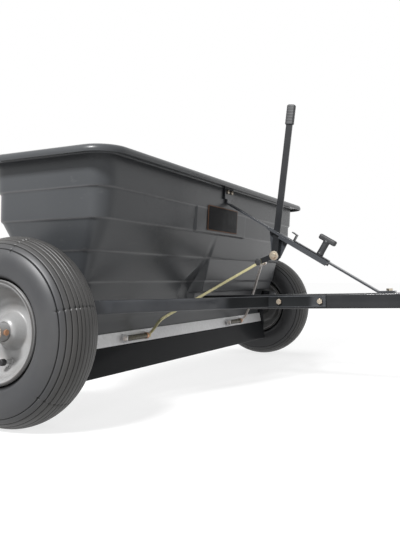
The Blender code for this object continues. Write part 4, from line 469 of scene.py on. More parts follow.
def tyre_rubber():
    """Tyre rubber: matt, dusty in broad patches, with a fine grain; painted shade in its grooves
    and beside the rim, painted highlights on the grooves' lips.
    """
    f = Finish("tyre_rubber")
    dust = f.noise(7.0, 4.0, 0.6)
    grain = f.noise(900.0, 2.0, 0.6)
    colour = f.mix(dust.between(0.35, 0.75), (0.034, 0.035, 0.038), (0.052, 0.052, 0.053))
    colour = f.mix(f.from_axle().between(0.143, 0.160) * 0.6, colour, (0.058, 0.055, 0.051))
    # Painted shade: near black in the grooves and on the wall beside the rim.
    colour = f.mix(f.painted_light_and_wear().between(0.0, 1.0), colour, (0.005, 0.005, 0.005))
    # Painted highlights: paler along the grooves' lips.
    colour = f.mix((f.painted_light_and_wear() * -1).between(0.0, 0.8) * 0.7, colour, (0.17, 0.165, 0.16))
    return f.done(base_color=colour, roughness=dust.between(0.3, 0.7, 0.40, 0.52),
                  normal=f.bump(grain, 0.00008, 0.5))


def wheel_paint(name, shade):
    """Silver paint on a pressed wheel: metal flake under a soft gloss, dust, and a dark ring of
    painted shade beside the tyre.
    """
    f = Finish(name)
    dust = f.noise(22.0, 4.0, 0.6)
    dark, light, dusty = np.array(((0.25, 0.25, 0.25), (0.34, 0.34, 0.34),
                                   (0.20, 0.175, 0.155))) * shade
    colour = f.mix(f.cells(2600.0), dark, light)
    colour = f.mix(dust.between(0.45, 0.80) * 0.5, colour, dusty)
    radius = f.from_axle()
    # A dark ring painted on the flange next to the tyre's bead: painted shade.
    painted_bead_shade = radius.between(0.0836, 0.0856) * (1 - radius.between(0.0880, 0.0887))
    colour = f.mix(painted_bead_shade * 0.9, colour, (0.030, 0.028, 0.027))
    return f.done(base_color=colour, roughness=dust.between(0.3, 0.7, 0.32, 0.44),
                  metallic=0.08, normal=f.bump(f.noise(260.0), 0.00005, 0.4))


def galvanised():
    """Galvanised sheet: spangle of angular cells, some duller, and drawing lines."""
    f = Finish("galvanised_sheet")
    cells = f.cells(190.0)
    lines = f.noise(300.0, 2.0, 0.6, (0.02, 1.0, 1.0))
    stain = f.noise(14.0, 4.0, 0.65)
    colour = f.mix(cells, (0.66, 0.66, 0.66), (0.73, 0.73, 0.74))
    colour = f.mix(stain.between(0.56, 0.78) * 0.5, colour, (0.42, 0.41, 0.39))
    rough = cells.between(0.0, 1.0, 0.36, 0.46) + lines * 0.06
    return f.done(base_color=colour, roughness=rough, metallic=0.45,
                  normal=f.bump(lines, 0.00005, 0.4))


def plated(name, pale, deep, tint, metallic=0.85):
    """Zinc plate: a passivated film whose colour drifts from place to place."""
    f = Finish(name)
    drift = f.noise(55.0, 3.0, 0.6)
    film = f.noise(150.0, 2.0, 0.5)
    colour = f.mix(drift.between(0.3, 0.7), pale, deep)
    colour = f.mix(film.between(0.52, 0.75) * 0.6, colour, tint)
    return f.done(base_color=colour, roughness=drift.between(0.3, 0.7, 0.24, 0.38),
                  metallic=metallic, normal=f.bump(f.noise(700.0), 0.00004, 0.4))


def bare_steel():
    """Turned and drawn steel: fine rings along the axle, dull brown in patches."""
    f = Finish("drawn_steel")
    rings = f.noise(500.0, 2.0, 0.6, (1.0, 0.05, 0.05))
    rust = f.noise(40.0, 5.0, 0.7).between(0.58, 0.75)
    colour = f.mix(rings, (0.33, 0.33, 0.34), (0.46, 0.46, 0.47))
    colour = f.mix(rust * 0.6, colour, (0.16, 0.10, 0.07))
    rough = rings.between(0.2, 0.8, 0.30, 0.42) + rust * 0.25
    return f.done(base_color=colour, roughness=rough, metallic=0.85,
                  normal=f.bump(rings, 0.00004, 0.5))


def plain_plastic(name, dark, light, rough, grain_scale=700.0, specular=0.4):
    """Injection-moulded plastic: fine spark grain and a little handling shine."""
    f = Finish(name)
    grain = f.noise(grain_scale, 2.0, 0.6)
    shine = f.noise(60.0, 3.0, 0.6)
    return f.done(base_color=f.mix(shine.between(0.3, 0.7), dark, light),
                  roughness=shine.between(0.3, 0.7, rough - 0.06, rough + 0.06),
                  normal=f.bump(grain, 0.00007, 0.5), specular_ior_level=specular)


PLASTIC = moulded_plastic()
PAINT = black_paint("black_powder_coat", 1.0, 1.0)
DULL_PAINT = black_paint("dull_black_paint", 0.8, 0.3)
# The same black paint, painted lighter to stand for the light that the strut, channel and braces
# catch.
LIGHTENED_BLACK_PAINT = black_paint("black_paint_painted_lighter", 3.2, 1.0)
RUBBER = tyre_rubber()
SILVER = wheel_paint("silver_wheel_paint", 1.0)
# The same silver paint, darker for the rims' inner halves: painted shade.
SHADED_SILVER = wheel_paint("silver_wheel_paint_painted_darker", 0.55)
GALVANISED = galvanised()
STEEL = bare_steel()
YELLOW_ZINC, PALE_ZINC, COPPER_ZINC, OLIVE_FILM, BOLT_ZINC = (plated(*look) for look in (
    ("yellow_zinc", (0.72, 0.67, 0.38), (0.62, 0.57, 0.31), (0.66, 0.55, 0.38), 0.35),
    ("pale_zinc", (0.88, 0.82, 0.77), (0.76, 0.70, 0.66), (0.84, 0.72, 0.64), 0.20),
    ("copper_zinc", (0.62, 0.34, 0.20), (0.50, 0.27, 0.16), (0.66, 0.42, 0.28), 0.6),
    ("olive_film", (0.075, 0.065, 0.035), (0.050, 0.044, 0.026), (0.11, 0.09, 0.05), 0.3),
    ("bolt_zinc", (0.60, 0.54, 0.44), (0.46, 0.40, 0.32), (0.58, 0.38, 0.26))))
BLACK_PLASTIC, VALVE_BLACK, NYLON, BADGE_FACE, BADGE_EDGE = (plain_plastic(*look) for look in (
    ("black_nylon", (0.030, 0.031, 0.033), (0.048, 0.049, 0.051), 0.42),
    ("valve_cap_black", (0.010, 0.010, 0.011), (0.016, 0.016, 0.017), 0.40),
    ("white_nylon", (0.60, 0.59, 0.55), (0.70, 0.69, 0.66), 0.45),
    ("badge_black", (0.008, 0.008, 0.009), (0.013, 0.013, 0.014), 0.55, 300.0, 0.08),
    ("badge_border", (0.13, 0.075, 0.050), (0.18, 0.10, 0.065), 0.55, 300.0, 0.08)))


# Hopper

# End inset, side inset and height of each moulded step
STEPS = ((0.0390, 0.0705, 0.0829), (0.0225, 0.0430, 0.1419), (0.0045, 0.0095, 0.2004),
         (0.0005, 0.0015, 0.2584))
# Half length, corner radius, drop below the top and softening, from under the rim to inside it
RIM = ((0.5365, 0.040, 0.0085, 0.004), (0.5630, 0.056, 0.0085, 0.003),
       (0.5630, 0.056, 0.0150, 0.0012), (0.5660, 0.059, 0.0150, 0.0012),
       (0.5672, 0.060, 0.0105, 0.003), (0.5662, 0.059, 0.0060, 0.003),
       (0.5638, 0.057, 0.0022, 0.003), (0.5590, 0.053, 0.0, 0.004),
       (0.5365, 0.040, 0.0, 0.004), (0.5325, 0.036, 0.0045, 0.003))
LONGER = 0.394    # by which half the hopper's length exceeds half its depth
# Where the front's columns stand: closest where its form turns
COLUMN_SPANS = (
    (-0.40, -0.176, 0.008), (-0.172, -0.160, 0.0013), (-0.158, -0.121, 0.004),
    (-0.120, 0.048, 0.0024), (0.050, 0.123, 0.007), (0.124, 0.134, 0.0013),
    (0.136, 0.4001, 0.008))
PANEL_NEAR, PANEL_FAR, PANEL_EDGE = -0.1675, 0.1300, 0.004
BULGE_RUN = 0.014    # over which the far part comes forward


def hopper_rows():
    """Half length, half depth, corner radius and height all the way round the section.

    Up the outer wall and its steps, over the rim, down the inner wall, across the floor to
    the slot and back under it.
    """
    def corner(z):
        return 0.012 + 0.028 * max(0.0, z - 0.003) / 0.2554

    outer = [(FOOT_HALF, 0.0345, 0.012, -0.0445), (FOOT_HALF, 0.0345, 0.012, 0.003),
             (FOOT_HALF, 0.0541, corner(0.052), 0.052), (0.4825, 0.0567, corner(0.058), 0.058)]
    for end_inset, side_inset, z in STEPS:
        length, depth = WALL_LENGTH - end_inset, WALL_DEPTH - side_inset
        outer += [(length - 0.0035, depth - 0.0035, corner(z), z - 0.0020),
                  (length, depth, corner(z), z + 0.0020)]
    rim = [(length, length - LONGER, radius, HOPPER_TOP - drop) for length, radius, drop, _ in RIM]
    inner = [(length - WALL, depth - WALL, max(radius - WALL, WALL), z)
             for length, depth, radius, z in outer[:0:-1]]
    floor = [(0.476, 0.0305, 0.008, -0.0405), (0.458, 0.015, 0.004, -0.0405),
             (0.458, 0.015, 0.004, -0.0445)]
    size = [0.003] * len(outer) + [row[3] for row in RIM] + [0.004] * len(inner)
    rows = softened(outer + rim + inner + floor, size + [0.005, 0.0008, 0.0008], 5)
    return divided(rows, 0.009, closed=True)


def hopper_columns():
    """How each column of the shell is placed, as five numbers a to e.

    x is a + b (length - radius) + c radius, and y is d (depth - radius) + e radius.  The
    long sides keep their own x over the middle, so that a column runs straight down.
    """
    middle = np.concatenate([np.arange(*span) for span in COLUMN_SPANS])
    share = np.linspace(0, 1, 10)[1:-1]
    kept = np.concatenate([-0.40 * share, middle, 0.40 * (1 - share)])
    moved = np.concatenate([share - 1, 0 * middle, share])
    front = together(kept, moved, 0.0, -1.0, -1.0)
    turn = np.linspace(0, np.pi / 2, 9)
    corner = together(0.0, 1.0, np.sin(turn), -1.0, -np.cos(turn))
    end = together(0.0, 1.0, 1.0, np.linspace(-1, 1, 16)[1:-1], 0.0)
    to_back, to_near = (1, 1, 1, -1, -1), (1, -1, -1, 1, 1)
    far = np.concatenate([corner, end, corner[::-1] * to_back])
    return np.concatenate([front, far, front[::-1][::3] * to_back, far[::-1] * to_near])


def bulge_depth(z):
    """How far the front's far part stands out: most above its foot, less at each step up."""
    return np.interp(z, (0.052, 0.058, 0.0819, 0.0839, 0.1409, 0.1429, 0.1994),
                     (0.0, 0.020, 0.014, 0.014, 0.002, 0.002, 0.0))


def bulge_edge(z):
    """Where the far part begins: a slanted line, moved back by what the part stands out."""
    return -0.040 + (0.199 - z) * 0.33 - 1.93 * bulge_depth(np.maximum(z, 0.058))


def pocket_depth(x, z):
    """Depth of the hollow beside the far part: wide below the first step, a valley above."""
    deep = np.interp(z, (0.008, 0.045, 0.083, 0.110, 0.142, 0.199),
                     (0.0, 0.016, 0.012, 0.006, 0.002, 0.0))
    reach = np.interp(z, (0.045, 0.083, 0.125, 0.142, 0.199), (0.080, 0.078, 0.034, 0.026, 0.018))
    start = np.interp(z, (0.083, 0.125, 0.199), (0.032, 0.030, 0.018))
    beside = x - bulge_edge(z)
    return deep * smooth(-reach, start - reach, beside) * (1 - smooth(0.0, BULGE_RUN, beside))


def make_hopper():
    """The moulded shell: rounded rectangles stacked along the section, with a panel and a hollow.

    A row's point is its rounded rectangle at that column.  Between the two upper steps the
    front stands out over the panel.  Below, the far part stands out and a hollow lies beside
    it; the inner wall follows, a wall's thickness inside its ledges.
    """
    rows, columns = hopper_rows(), hopper_columns()
    length, depth, radius, z = rows.T[..., None]
    x = columns[:, 0] + columns[:, 1] * (length - radius) + columns[:, 2] * radius
    y = columns[:, 3] * (depth - radius) + columns[:, 4] * radius
    is_front, forward = columns[:, 4] < 0, (1 - columns[:, 3]) / 2
    inner = (np.arange(len(rows)) > np.argmax(rows[:, 3]) + 8)[:, None]
    over_panel = smooth(PANEL_NEAR, PANEL_NEAR + PANEL_EDGE, x) * (
        1 - smooth(PANEL_FAR - PANEL_EDGE, PANEL_FAR, x))
    base = np.interp(z, (0.1984, 0.2024, 0.2564, 0.2604), (0.1275, 0.1310, 0.1355, 0.1390))
    proud = np.interp(z, (0.1984, 0.2020, 0.2604), (0.1275, 0.1352, 0.1390))
    y = y - is_front * ((z > 0.195) & (z < 0.2615)) * over_panel * (proud - base)
    y = y + is_front * pocket_depth(x, z)
    out = np.where(inner, np.minimum(bulge_depth(z - WALL), bulge_depth(z + WALL)),
                   bulge_depth(z))
    y = y - forward * out * smooth(-0.004, BULGE_RUN, x - bulge_edge(z))
    # Painted highlights: a pale line along each ledge, and a fainter pale band along the rim's
    # top.
    ledges = np.array([step[2] for step in STEPS]) + 0.0008
    painted_light_and_wear = np.maximum(bell(z - ledges, 0.0016).max(1, keepdims=True) * ~inner,
                      bell(z - HOPPER_TOP + 0.001, 0.002) * 0.5)
    Shell().grid(AXLE + together(x, y, z), wrap_rows=True, wrap_cols=True,
                 wear=painted_light_and_wear + 0 * x).piece("hopper_shell", PLASTIC, "hopper", crease=60)


def make_badge():
    """The bare name plate on the front panel: a black face on a thin border."""
    top, foot = np.array((-0.0220, -0.1404, 0.2682)), np.array((-0.0220, -0.1369, 0.2067))
    run, height = unit(top - foot), np.linalg.norm(top - foot)
    for name, finish, margin, lift, thick in (("border", BADGE_EDGE, 0.0, 0.0004, 0.0014),
                                              ("face", BADGE_FACE, 0.0022, 0.0009, 0.0012)):
        outline = oblong(0.174 - 2 * margin, height - 2 * margin, 0.003)
        middle = AXLE + (top + foot) / 2 + np.cross(ALONG_AXLE, run) * lift
        plate = Shell().plate(outline, thick, middle, ALONG_AXLE, run, 0.0003)
        plate.piece(f"badge_{name}", finish, body="root")


# Wheels

GROOVES = np.array((0.0, 0.0090, 0.0165, 0.0240, 0.0330, 0.0410, 0.0485))
GROOVE_DEPTH = 0.0017
JOINT_ANGLE, JOINT_STEP = math.radians(44), np.pi / 3


def tyre_wall(angle):
    """The tyre's outer skin: a superellipse section with grooves and ticks across them.

    A groove is a bell-shaped dip square to the section, with a painted highlight on the lip each
    side.  Where a mould joint crosses it, every sixty degrees, the dip is wider and deeper.
    Beside the wheel rim the wall sinks behind a thin ridge.  Returned are its place along the
    axle, its radius and its painted light: 1 for painted shade in a groove, 0.75 for painted
    shade beside the rim, below 0 for painted highlights on its lips.
    """
    turn = np.linspace(-0.86, np.pi + 0.86, 2400)
    offset = TYRE_HALF_WIDTH * squared(np.cos(turn), 2.1)
    rise = TYRE_HALF_SECTION * squared(np.sin(turn), 2.1)
    length = np.append(0, np.cumsum(np.hypot(np.diff(offset), np.diff(rise))))
    places = np.concatenate([-GROOVES[:0:-1], GROOVES])
    on_tread = rise > 0
    middles = np.interp(places, offset[on_tread][::-1], length[on_tread][::-1])
    cluster = np.array((-0.0021, -0.0012, -0.0007, 0.0, 0.0007, 0.0012, 0.0021))
    along = np.sort(np.concatenate([np.arange(0, length[-1], 0.0036),
                                    (middles[:, None] + cluster).ravel(), length[-1:]]))
    along = along[np.append(True, np.diff(along) > 0.0003)]
    offset, rise = np.interp(along, length, offset), np.interp(along, length, rise)
    ahead, out = unit(together(np.gradient(offset, along), np.gradient(rise, along))).T
    gap = along[None, :, None] - middles
    joint = np.abs(((angle - JOINT_ANGLE) / JOINT_STEP + 0.5) % 1 - 0.5) * JOINT_STEP
    tick = bell(joint * TYRE_RADIUS, 0.0018)[:, None, None]
    dip = (GROOVE_DEPTH * (1 + tick) * bell(gap, 0.00075 + 0.0014 * tick)).max(-1)
    valley = 0.0042 * (1 - smooth(-0.0300, -0.0200, rise))
    shift = 0.0010 * bell(rise + 0.0185, 0.0022) - valley - dip
    # Painted highlights along both lips of each groove.
    lip_highlight = bell(np.abs(gap) - 0.0013, 0.00045).max(-1)
    # Painted shade: 1 in the grooves; the lips' painted highlights go below 0.
    wear = np.clip(dip / GROOVE_DEPTH, 0, 1) - 0.8 * lip_highlight * (dip < 0.0006)
    # Painted shade on the wall beside the rim.
    painted_shade_beside_rim = 0.75 * (1 - smooth(-0.0272, -0.0240, rise))
    radius = TYRE_RADIUS - TYRE_HALF_SECTION + rise - shift * ahead
    return offset + shift * out, radius, np.maximum(wear, painted_shade_beside_rim)


def make_tyre(name, side):
    """The tyre's skin, the beads inside the rim and the hollow inside it."""
    joints = JOINT_ANGLE + np.arange(6)[:, None] * JOINT_STEP + np.array(
        (-0.003, -0.0015, 0.0, 0.0015, 0.003)) / TYRE_RADIUS
    angle = np.concatenate([around(180), joints.ravel() % (2 * np.pi)])
    angle = np.unique(np.round(angle, 5))
    bead = np.array([(0.0405, 0.0855), (0.0375, 0.0812), (0.0320, 0.0790)])
    turn = np.linspace(0, np.pi, 12)
    inside = together(0.0465 * np.cos(turn), 0.1181 + 0.038 * np.sin(turn))
    hidden = np.concatenate([bead * (-1, 1), inside[::-1], bead[::-1]])
    across, radius, wear = (
        np.concatenate([skin, np.broadcast_to(rest, (len(angle), len(hidden)))], 1)
        for skin, rest in zip(tyre_wall(angle), (*hidden.T, 0.0)))
    points = together(side * across, radius * np.cos(angle)[:, None],
                      radius * np.sin(angle)[:, None])
    Shell().grid(AXLE + (side * WHEEL_X, 0, 0) + points, wrap_rows=True, wrap_cols=True,
                 wear=wear).piece(f"{name}_tyre_tread", RUBBER, f"{name}_tyre", crease=75)


def make_rim(name, side):
    """Both pressed halves of the rim, from rolled flange to dished disc and dome, and the hub."""
    centre = AXLE + (side * WHEEL_X, 0, 0)
    # The inner halves take the darker copy of the silver: painted shade.
    for half, node, depth, finish in ((1, "outer", 0.014, SILVER),
                                      (-1, "inner", 0.011, SHADED_SILVER)):
        line = [(0.0425, 0.0879), (0.0463, 0.0879), (0.0463, 0.0840), (0.0420, 0.0795),
                (0.0250, 0.0756), (depth, 0.0665), (0.00135, 0.0565), (0.00135, 0.0340),
                (0.00735, 0.0300), (0.0210, 0.0220), (0.0240, 0.0175)]
        size = (0, 0.0022, 0.0022, 0.006, 0.006, 0.006, 0.007, 0.004, 0.005, 0.004, 0)
        line = divided(softened(line, size, 6, closed=False), 0.004)
        Shell().ring(sheet_profile(line, 0.0024), centre, (side * half, 0, 0), 96).piece(
            f"{name}_wheel_disc_{node}", finish, f"{name}_rim_{node}", crease=50)
    Shell().band(-HUB_HALF, HUB_HALF, 0.0099, 0.016, 0.0012, centre).piece(
        f"{name}_hub_tube", SILVER, f"{name}_hub")


def make_valve(name, side):
    """Clamped metal valve stem with a nut on the wheel disc, and a cap with moulded ribs."""
    start, node = AXLE + (side * WHEEL_X, 0, -0.052), f"{name}_valve_stem"
    stem = [(-0.0055, 0.0), (-0.0055, 0.0045), (-0.0020, 0.0045), (-0.0020, 0.0038),
            (0.0012, 0.0038), (0.0012, 0.0058), (0.0046, 0.0058), (0.0054, 0.0036),
            (0.0198, 0.0036), (0.0198, 0.0)]
    stem = softened(stem, 0.0005, 3, closed=False)
    Shell().spindle(stem, start, (side, 0, 0), 28).piece(f"{name}_valve_metal", SILVER, node)
    cap = [(0.0200, 0.0), (0.0200, 0.0058), (0.0290, 0.0056), (0.0300, 0.0042), (0.0300, 0.0)]
    along, radius = softened(cap, 0.0008, 3, closed=False).T
    radius = radius * (1 + 0.04 * np.cos(10 * around(40)[:, None]))
    Shell().grid(turned(along, radius, start, (side, 0, 0), 40), wrap_rows=True).piece(
        f"{name}_valve_cap", VALVE_BLACK, node)


def make_cotter(name, side):
    """Split pin: a wire down the hole, round an eye on top and back, its legs spread."""
    turn = np.linspace(-0.35 * np.pi, 1.35 * np.pi, 18)
    eye = together(0.0040 * np.cos(turn), 0.0112 + 0.0036 * np.sin(turn))
    leg = np.array([(0.0008, 0.0085), (0.0008, -0.0098), (0.0022, -0.0135), (0.0078, -0.0182)])
    line = softened(np.concatenate([leg[::-1], eye, leg * (-1, 1)]), 0.002, 3, closed=False)
    x = side * (WHEEL_X + HUB_HALF + WASHER + 2 * FIT + 0.0026)
    Shell().tube(carried(AXLE + together(x, *line.T), circle(0.0008, 8), ALONG_AXLE)).piece(
        f"{name}_split_pin", BOLT_ZINC, f"{name}_cotter_pin", crease=60)


# Fasteners

M6 = {"shank": 0.003, "corner": 0.0055, "head": 0.0035, "nut": 0.0035}


def hexed(outer, inner, corner, angle):
    """Stations of a hexagon head, from its free face, where a cone cuts the corners back.

    The hexagon's radius is half its width over the cosine of the angle from its nearest side.
    """
    flat = corner * math.cos(np.pi / 6)
    outline = flat / np.cos((angle + np.pi / 6) % (np.pi / 3) - np.pi / 6)
    cone = (outline - flat * 0.97) * math.tan(0.48) * np.sign(inner - outer)
    return [(outer, flat * 0.97), (outer + cone, outline), (inner, outline)]


def make_bolt(node, start, end, shank=0.004, corner=0.0075, head=0.005, nut=0.0055,
              tail=0.004, finish=BOLT_ZINC, washer=0.0, name=None):
    """A hexagon bolt: chamfered head, shank, nut, and a thread whose radius follows a helix."""
    start, end = AXLE + start, AXLE + end
    axis, grip = unit(end - start), np.linalg.norm(end - start)
    angle = around(48)
    stations = [(-FIT - head, 0.0), *hexed(-FIT - head, -FIT, corner, angle), (-FIT, shank)]
    tip = grip
    if nut > 0:
        tip = grip + FIT + nut
        stations += [(grip + FIT, shank), *hexed(tip, grip + FIT, corner, angle)[::-1]]
    if tail > 0:
        pitch = 0.28 * shank
        stations += [(tip + step, shank * (0.96 + 0.04 * np.cos(2 * np.pi * step / pitch - angle)))
                     for step in np.arange(0.0, max(tail - 0.0008, pitch), pitch / 4)]
    tip += tail
    stations += [(tip - 0.0003, shank * 0.82), (tip, shank * 0.76), (tip, 0.0)]
    along, radius = (np.stack([value + 0 * angle for value in values], 1)
                     for values in zip(*stations))
    shell = Shell().grid(turned(along, radius, start, axis, 48), wrap_rows=True)
    if washer > 0:
        shell.band(-0.0012, 0.0, shank + 0.0002, washer, 0.0003, start - axis * 0.0001, axis)
    shell.piece(name or f"{node}_hex", finish, node, crease=20)


def make_bolts():
    """Every bolt but the links', between the two faces that it clamps."""
    drive_x, strap, fork = WHEEL_X + 0.036, TONGUE_HALF + FIT + STRAP, TONGUE_HALF + FIT + FORK
    make_bolt("drive_bolt", (-drive_x, -0.016, 0), (-drive_x, 0.016, 0), tail=0.003,
              finish=COPPER_ZINC, **M6)
    for place, y in BRACE_BOLTS.items():
        make_bolt(f"brace_bolt_{place}", on_tongue(y, 0) - (strap, 0, 0),
                  on_tongue(y, 0) + (strap, 0, 0), corner=0.0066)
    face, inside = -(WALL_DEPTH + WALL / 2 + FIT) - 0.004, -0.1370
    apart, height = 0.0115, 0.3105
    for place, side in SIDES:
        make_bolt(f"strut_bolt_{place}", (side * apart, face, height),
                  (side * apart, inside, height), tail=0.002, **M6)
    for place, y in HITCH_BOLTS.items():
        make_bolt(f"hitch_bolt_{place}", on_tongue(y, fork), on_tongue(y, -fork))
    y = sum(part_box("strut_foot_bolt"), Vector())[1] / 2 - AXLE[1]
    make_bolt("strut_foot_bolt", on_tongue(y, strap), on_tongue(y, TONGUE_HALF - TONGUE_WALL))
    make_bolt("pivot_bolt", PIVOT + (-0.0064, 0, 0), PIVOT + (0.0125, 0, 0), corner=0.0064,
              head=0.0042, washer=0.0112)
    make_bolt("stop_bolt", on_strut(KNOB_PLACE, -0.004 - 2 * FIT - STOP),
              on_strut(KNOB_PLACE, 0.0185), 0.003, 0.0065, 0.0035, 0.0, 0.0)


def axle_span(node):
    """How far from the middle a piece on the axle begins and ends."""
    return sorted(abs(corner[0] - AXLE[0]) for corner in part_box(node))


def make_turned_pieces():
    """Axle, bushes, spacers and washers: closed or open profiles turned about the axle."""
    reach, radius, bore = WHEEL_X + HUB_HALF + FIT + WASHER + 0.012, 0.0095, 0.0100
    line = [(-reach, 0.0), (-reach, 0.0080), (-reach + 0.0015, radius),
            (reach - 0.0015, radius), (reach, 0.0080), (reach, 0.0)]
    Shell().spindle(divided(line, 0.05), AXLE, ALONG_AXLE, 40).piece("axle_shaft", STEEL, "axle")
    for name, side in SIDES:
        low, high = axle_span(f"{name}_axle_bush")
        line = [(low, bore), (high, bore), (high, 0.019), (high - 0.003, 0.019),
                (high - 0.003, 0.0135), (low, 0.0135)]
        Shell().ring(softened(line, 0.0006), AXLE, (side, 0, 0), 40).piece(
            f"{name}_nylon_bush", NYLON, f"{name}_axle_bush")
        for node, finish, radius in ((f"{name}_axle_spacer", STEEL, 0.014),
                                     (f"{name}_wheel_washer", BOLT_ZINC, 0.0165)):
            Shell().band(*axle_span(node), bore, radius, 0.0005, AXLE, (side, 0, 0)).piece(
                f"{node}_turned", finish, node)


# Tongue, braces and strut

def on_tongue(y, rise):
    """A point on the tongue's middle plane, a distance above its centre line."""
    z = TONGUE_HEIGHT + (TONGUE_DATUM - y) * math.tan(TONGUE_SLOPE)
    return np.array((0, y + rise * math.sin(TONGUE_SLOPE), z + rise * math.cos(TONGUE_SLOPE)))


def on_strut(y, above):
    """A point at a distance above the strut's upper face."""
    z = STRUT_DATUM[2] + (y - STRUT_DATUM[1]) * math.tan(STRUT_SLOPE)
    return np.array((0, y, z)) + STRUT_NORMAL * above


def make_tongue():
    """Square tube: a round-cornered outline carried along it, and a smaller one back inside."""
    start, end = on_tongue(-0.078, 0), on_tongue(TONGUE_FRONT, 0)
    run, inner = unit(end - start), 1 - TONGUE_WALL / TONGUE_HALF
    path = AXLE + np.stack([start, start + run * 0.0004, end - run * 0.0004, end, end, start])
    scale = np.array((0.995, 1, 1, 0.995, inner, inner))[:, None, None]
    outline = oblong(2 * TONGUE_HALF, 2 * TONGUE_HALF, 0.0042, 6)
    Shell().grid(placed(path, outline * scale, ALONG_AXLE, np.cross(ALONG_AXLE, run)),
                 wrap_rows=True, wrap_cols=True).piece("tongue_tube", PAINT, "tongue", crease=50)


def make_brace(name, side):
    """Tube with both ends pressed flat: a superellipse whose width and squareness change.

    A station is a place on the path, half the section's width, and its squareness.  Where the
    tube is pressed, its middle is dished, so that the section is thinnest there.
    """
    flat, tall, tube, level = STRAP / 2, 0.0132, 0.0098, 0.0361
    rear_x, front_x = FOOT_HALF - flat, TONGUE_HALF + FIT + flat
    rear_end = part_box(f"{name}_brace")[1][1] - AXLE[1]
    rear = np.array((rear_x, rear_end - 0.026, level))
    front = np.array((front_x, *on_tongue(-0.2565, 0)[1:]))
    length = np.linalg.norm(front - rear)
    stations = [(rear_x, rear_end, level, flat * 0.7, 8),
                (rear_x, rear_end - 0.002, level, flat, 8), (*rear, flat, 8)]
    stations += [(*(rear + unit(front - rear) * way), thick, power) for way, thick, power in (
        (0.008, flat * 1.6, 6), (0.036, tube, 5), (length - 0.225, tube, 5),
        (length - 0.150, flat * 1.8, 6), (length - 0.012, flat * 1.2, 8))]
    end = on_tongue(-0.397, 0) + (front_x, 0, 0)
    stations += [(*front, flat, 8), (front_x, *on_tongue(BRACE_BOLTS["rear"], 0)[1:], flat, 8),
                 (front_x, end[1] + 0.002, end[2] - 0.00005, flat, 8), (*end, flat * 0.7, 8)]
    stations = np.array(stations)
    steps = np.append(0, np.cumsum(np.linalg.norm(np.diff(stations[:, :3], axis=0), axis=1)))
    along = np.unique(np.concatenate([np.arange(0, steps[-1], 0.006), steps]))
    path = together(*(np.interp(along, steps, stations[:, i]) for i in range(3))) * (side, 1, 1)
    index = np.clip(np.searchsorted(steps, along, side="right") - 1, 0, len(steps) - 2)
    share = smooth(steps[index], steps[index + 1], along)[:, None]
    form = stations[:, 3:]
    thick, power = (form[index] * (1 - share) + form[index + 1] * share).T[..., None]
    a = thick * squared(np.cos(around(40)), power)
    b = squared(np.sin(around(40)), power)
    pressed = np.clip((tube - thick) / (tube - flat), 0, 1) ** 3
    a = a * (1 - 0.45 * pressed * (1 - smooth(0.55, 0.92, np.abs(b))))
    ahead = unit(np.gradient(path, axis=0) * (1, 1, 0))
    across = together(ahead[:, 1], -ahead[:, 0], 0.0)[:, None]
    edge = smooth(0.80, 1.0, np.abs(b)) * pressed
    way = (along / along[-1])[:, None]
    # Painted shade on the brace's stretch along the tongue, darker and duller than the rest.
    dull_painted_shade_stretch = smooth(0.52, 0.60, way) * (1 - edge) * (1 - smooth(0.93, 0.97, way))
    # The brace takes the lighter copy of the black paint: painted light.
    Shell().tube(placed(AXLE + path, together(a, tall * b), across, UP),
                 edge * 0.6 - dull_painted_shade_stretch).piece(f"{name}_brace_tube", LIGHTENED_BLACK_PAINT, f"{name}_brace",
                                          crease=50)


# Grip and knob

def make_grip():
    """Moulded grip: a rounded oblong carried up the lever, with finger rings and a soft end."""
    tilt, size, lever, overhang = math.radians(7.8), 0.05, 0.372, 0.004
    up = np.array((0, -math.sin(tilt), math.cos(tilt)))
    t = np.append(np.linspace(0, size, 61), (size, size))
    top = AXLE + PIVOT + (-0.002, 0, 0) + up * (lever + FIT + overhang)
    ring = 0.5 + 0.5 * np.cos(2 * np.pi * t / 0.0072)
    scale = 1 - 0.016 * ring * smooth(0.003, 0.006, t) * (1 - smooth(0.042, 0.045, t))
    scale *= np.sqrt(1 - ((t - 0.046) / 0.0042).clip(0, 1) ** 2 * 0.55)
    scale *= 1 - 0.10 * (1 - smooth(0, 0.0015, t))
    scale[-2:] *= (0.8, 0.0)
    outline = oblong(0.0215, 0.0115, 0.0042, 6) * scale[:, None, None]
    points = placed(top - up * (size - t)[:, None], outline, np.cross(up, ALONG_AXLE), ALONG_AXLE)
    Shell().grid(points, wrap_cols=True).cap(points[0]).piece(
        "lever_hand_grip", BLACK_PLASTIC, "lever_grip", crease=60)


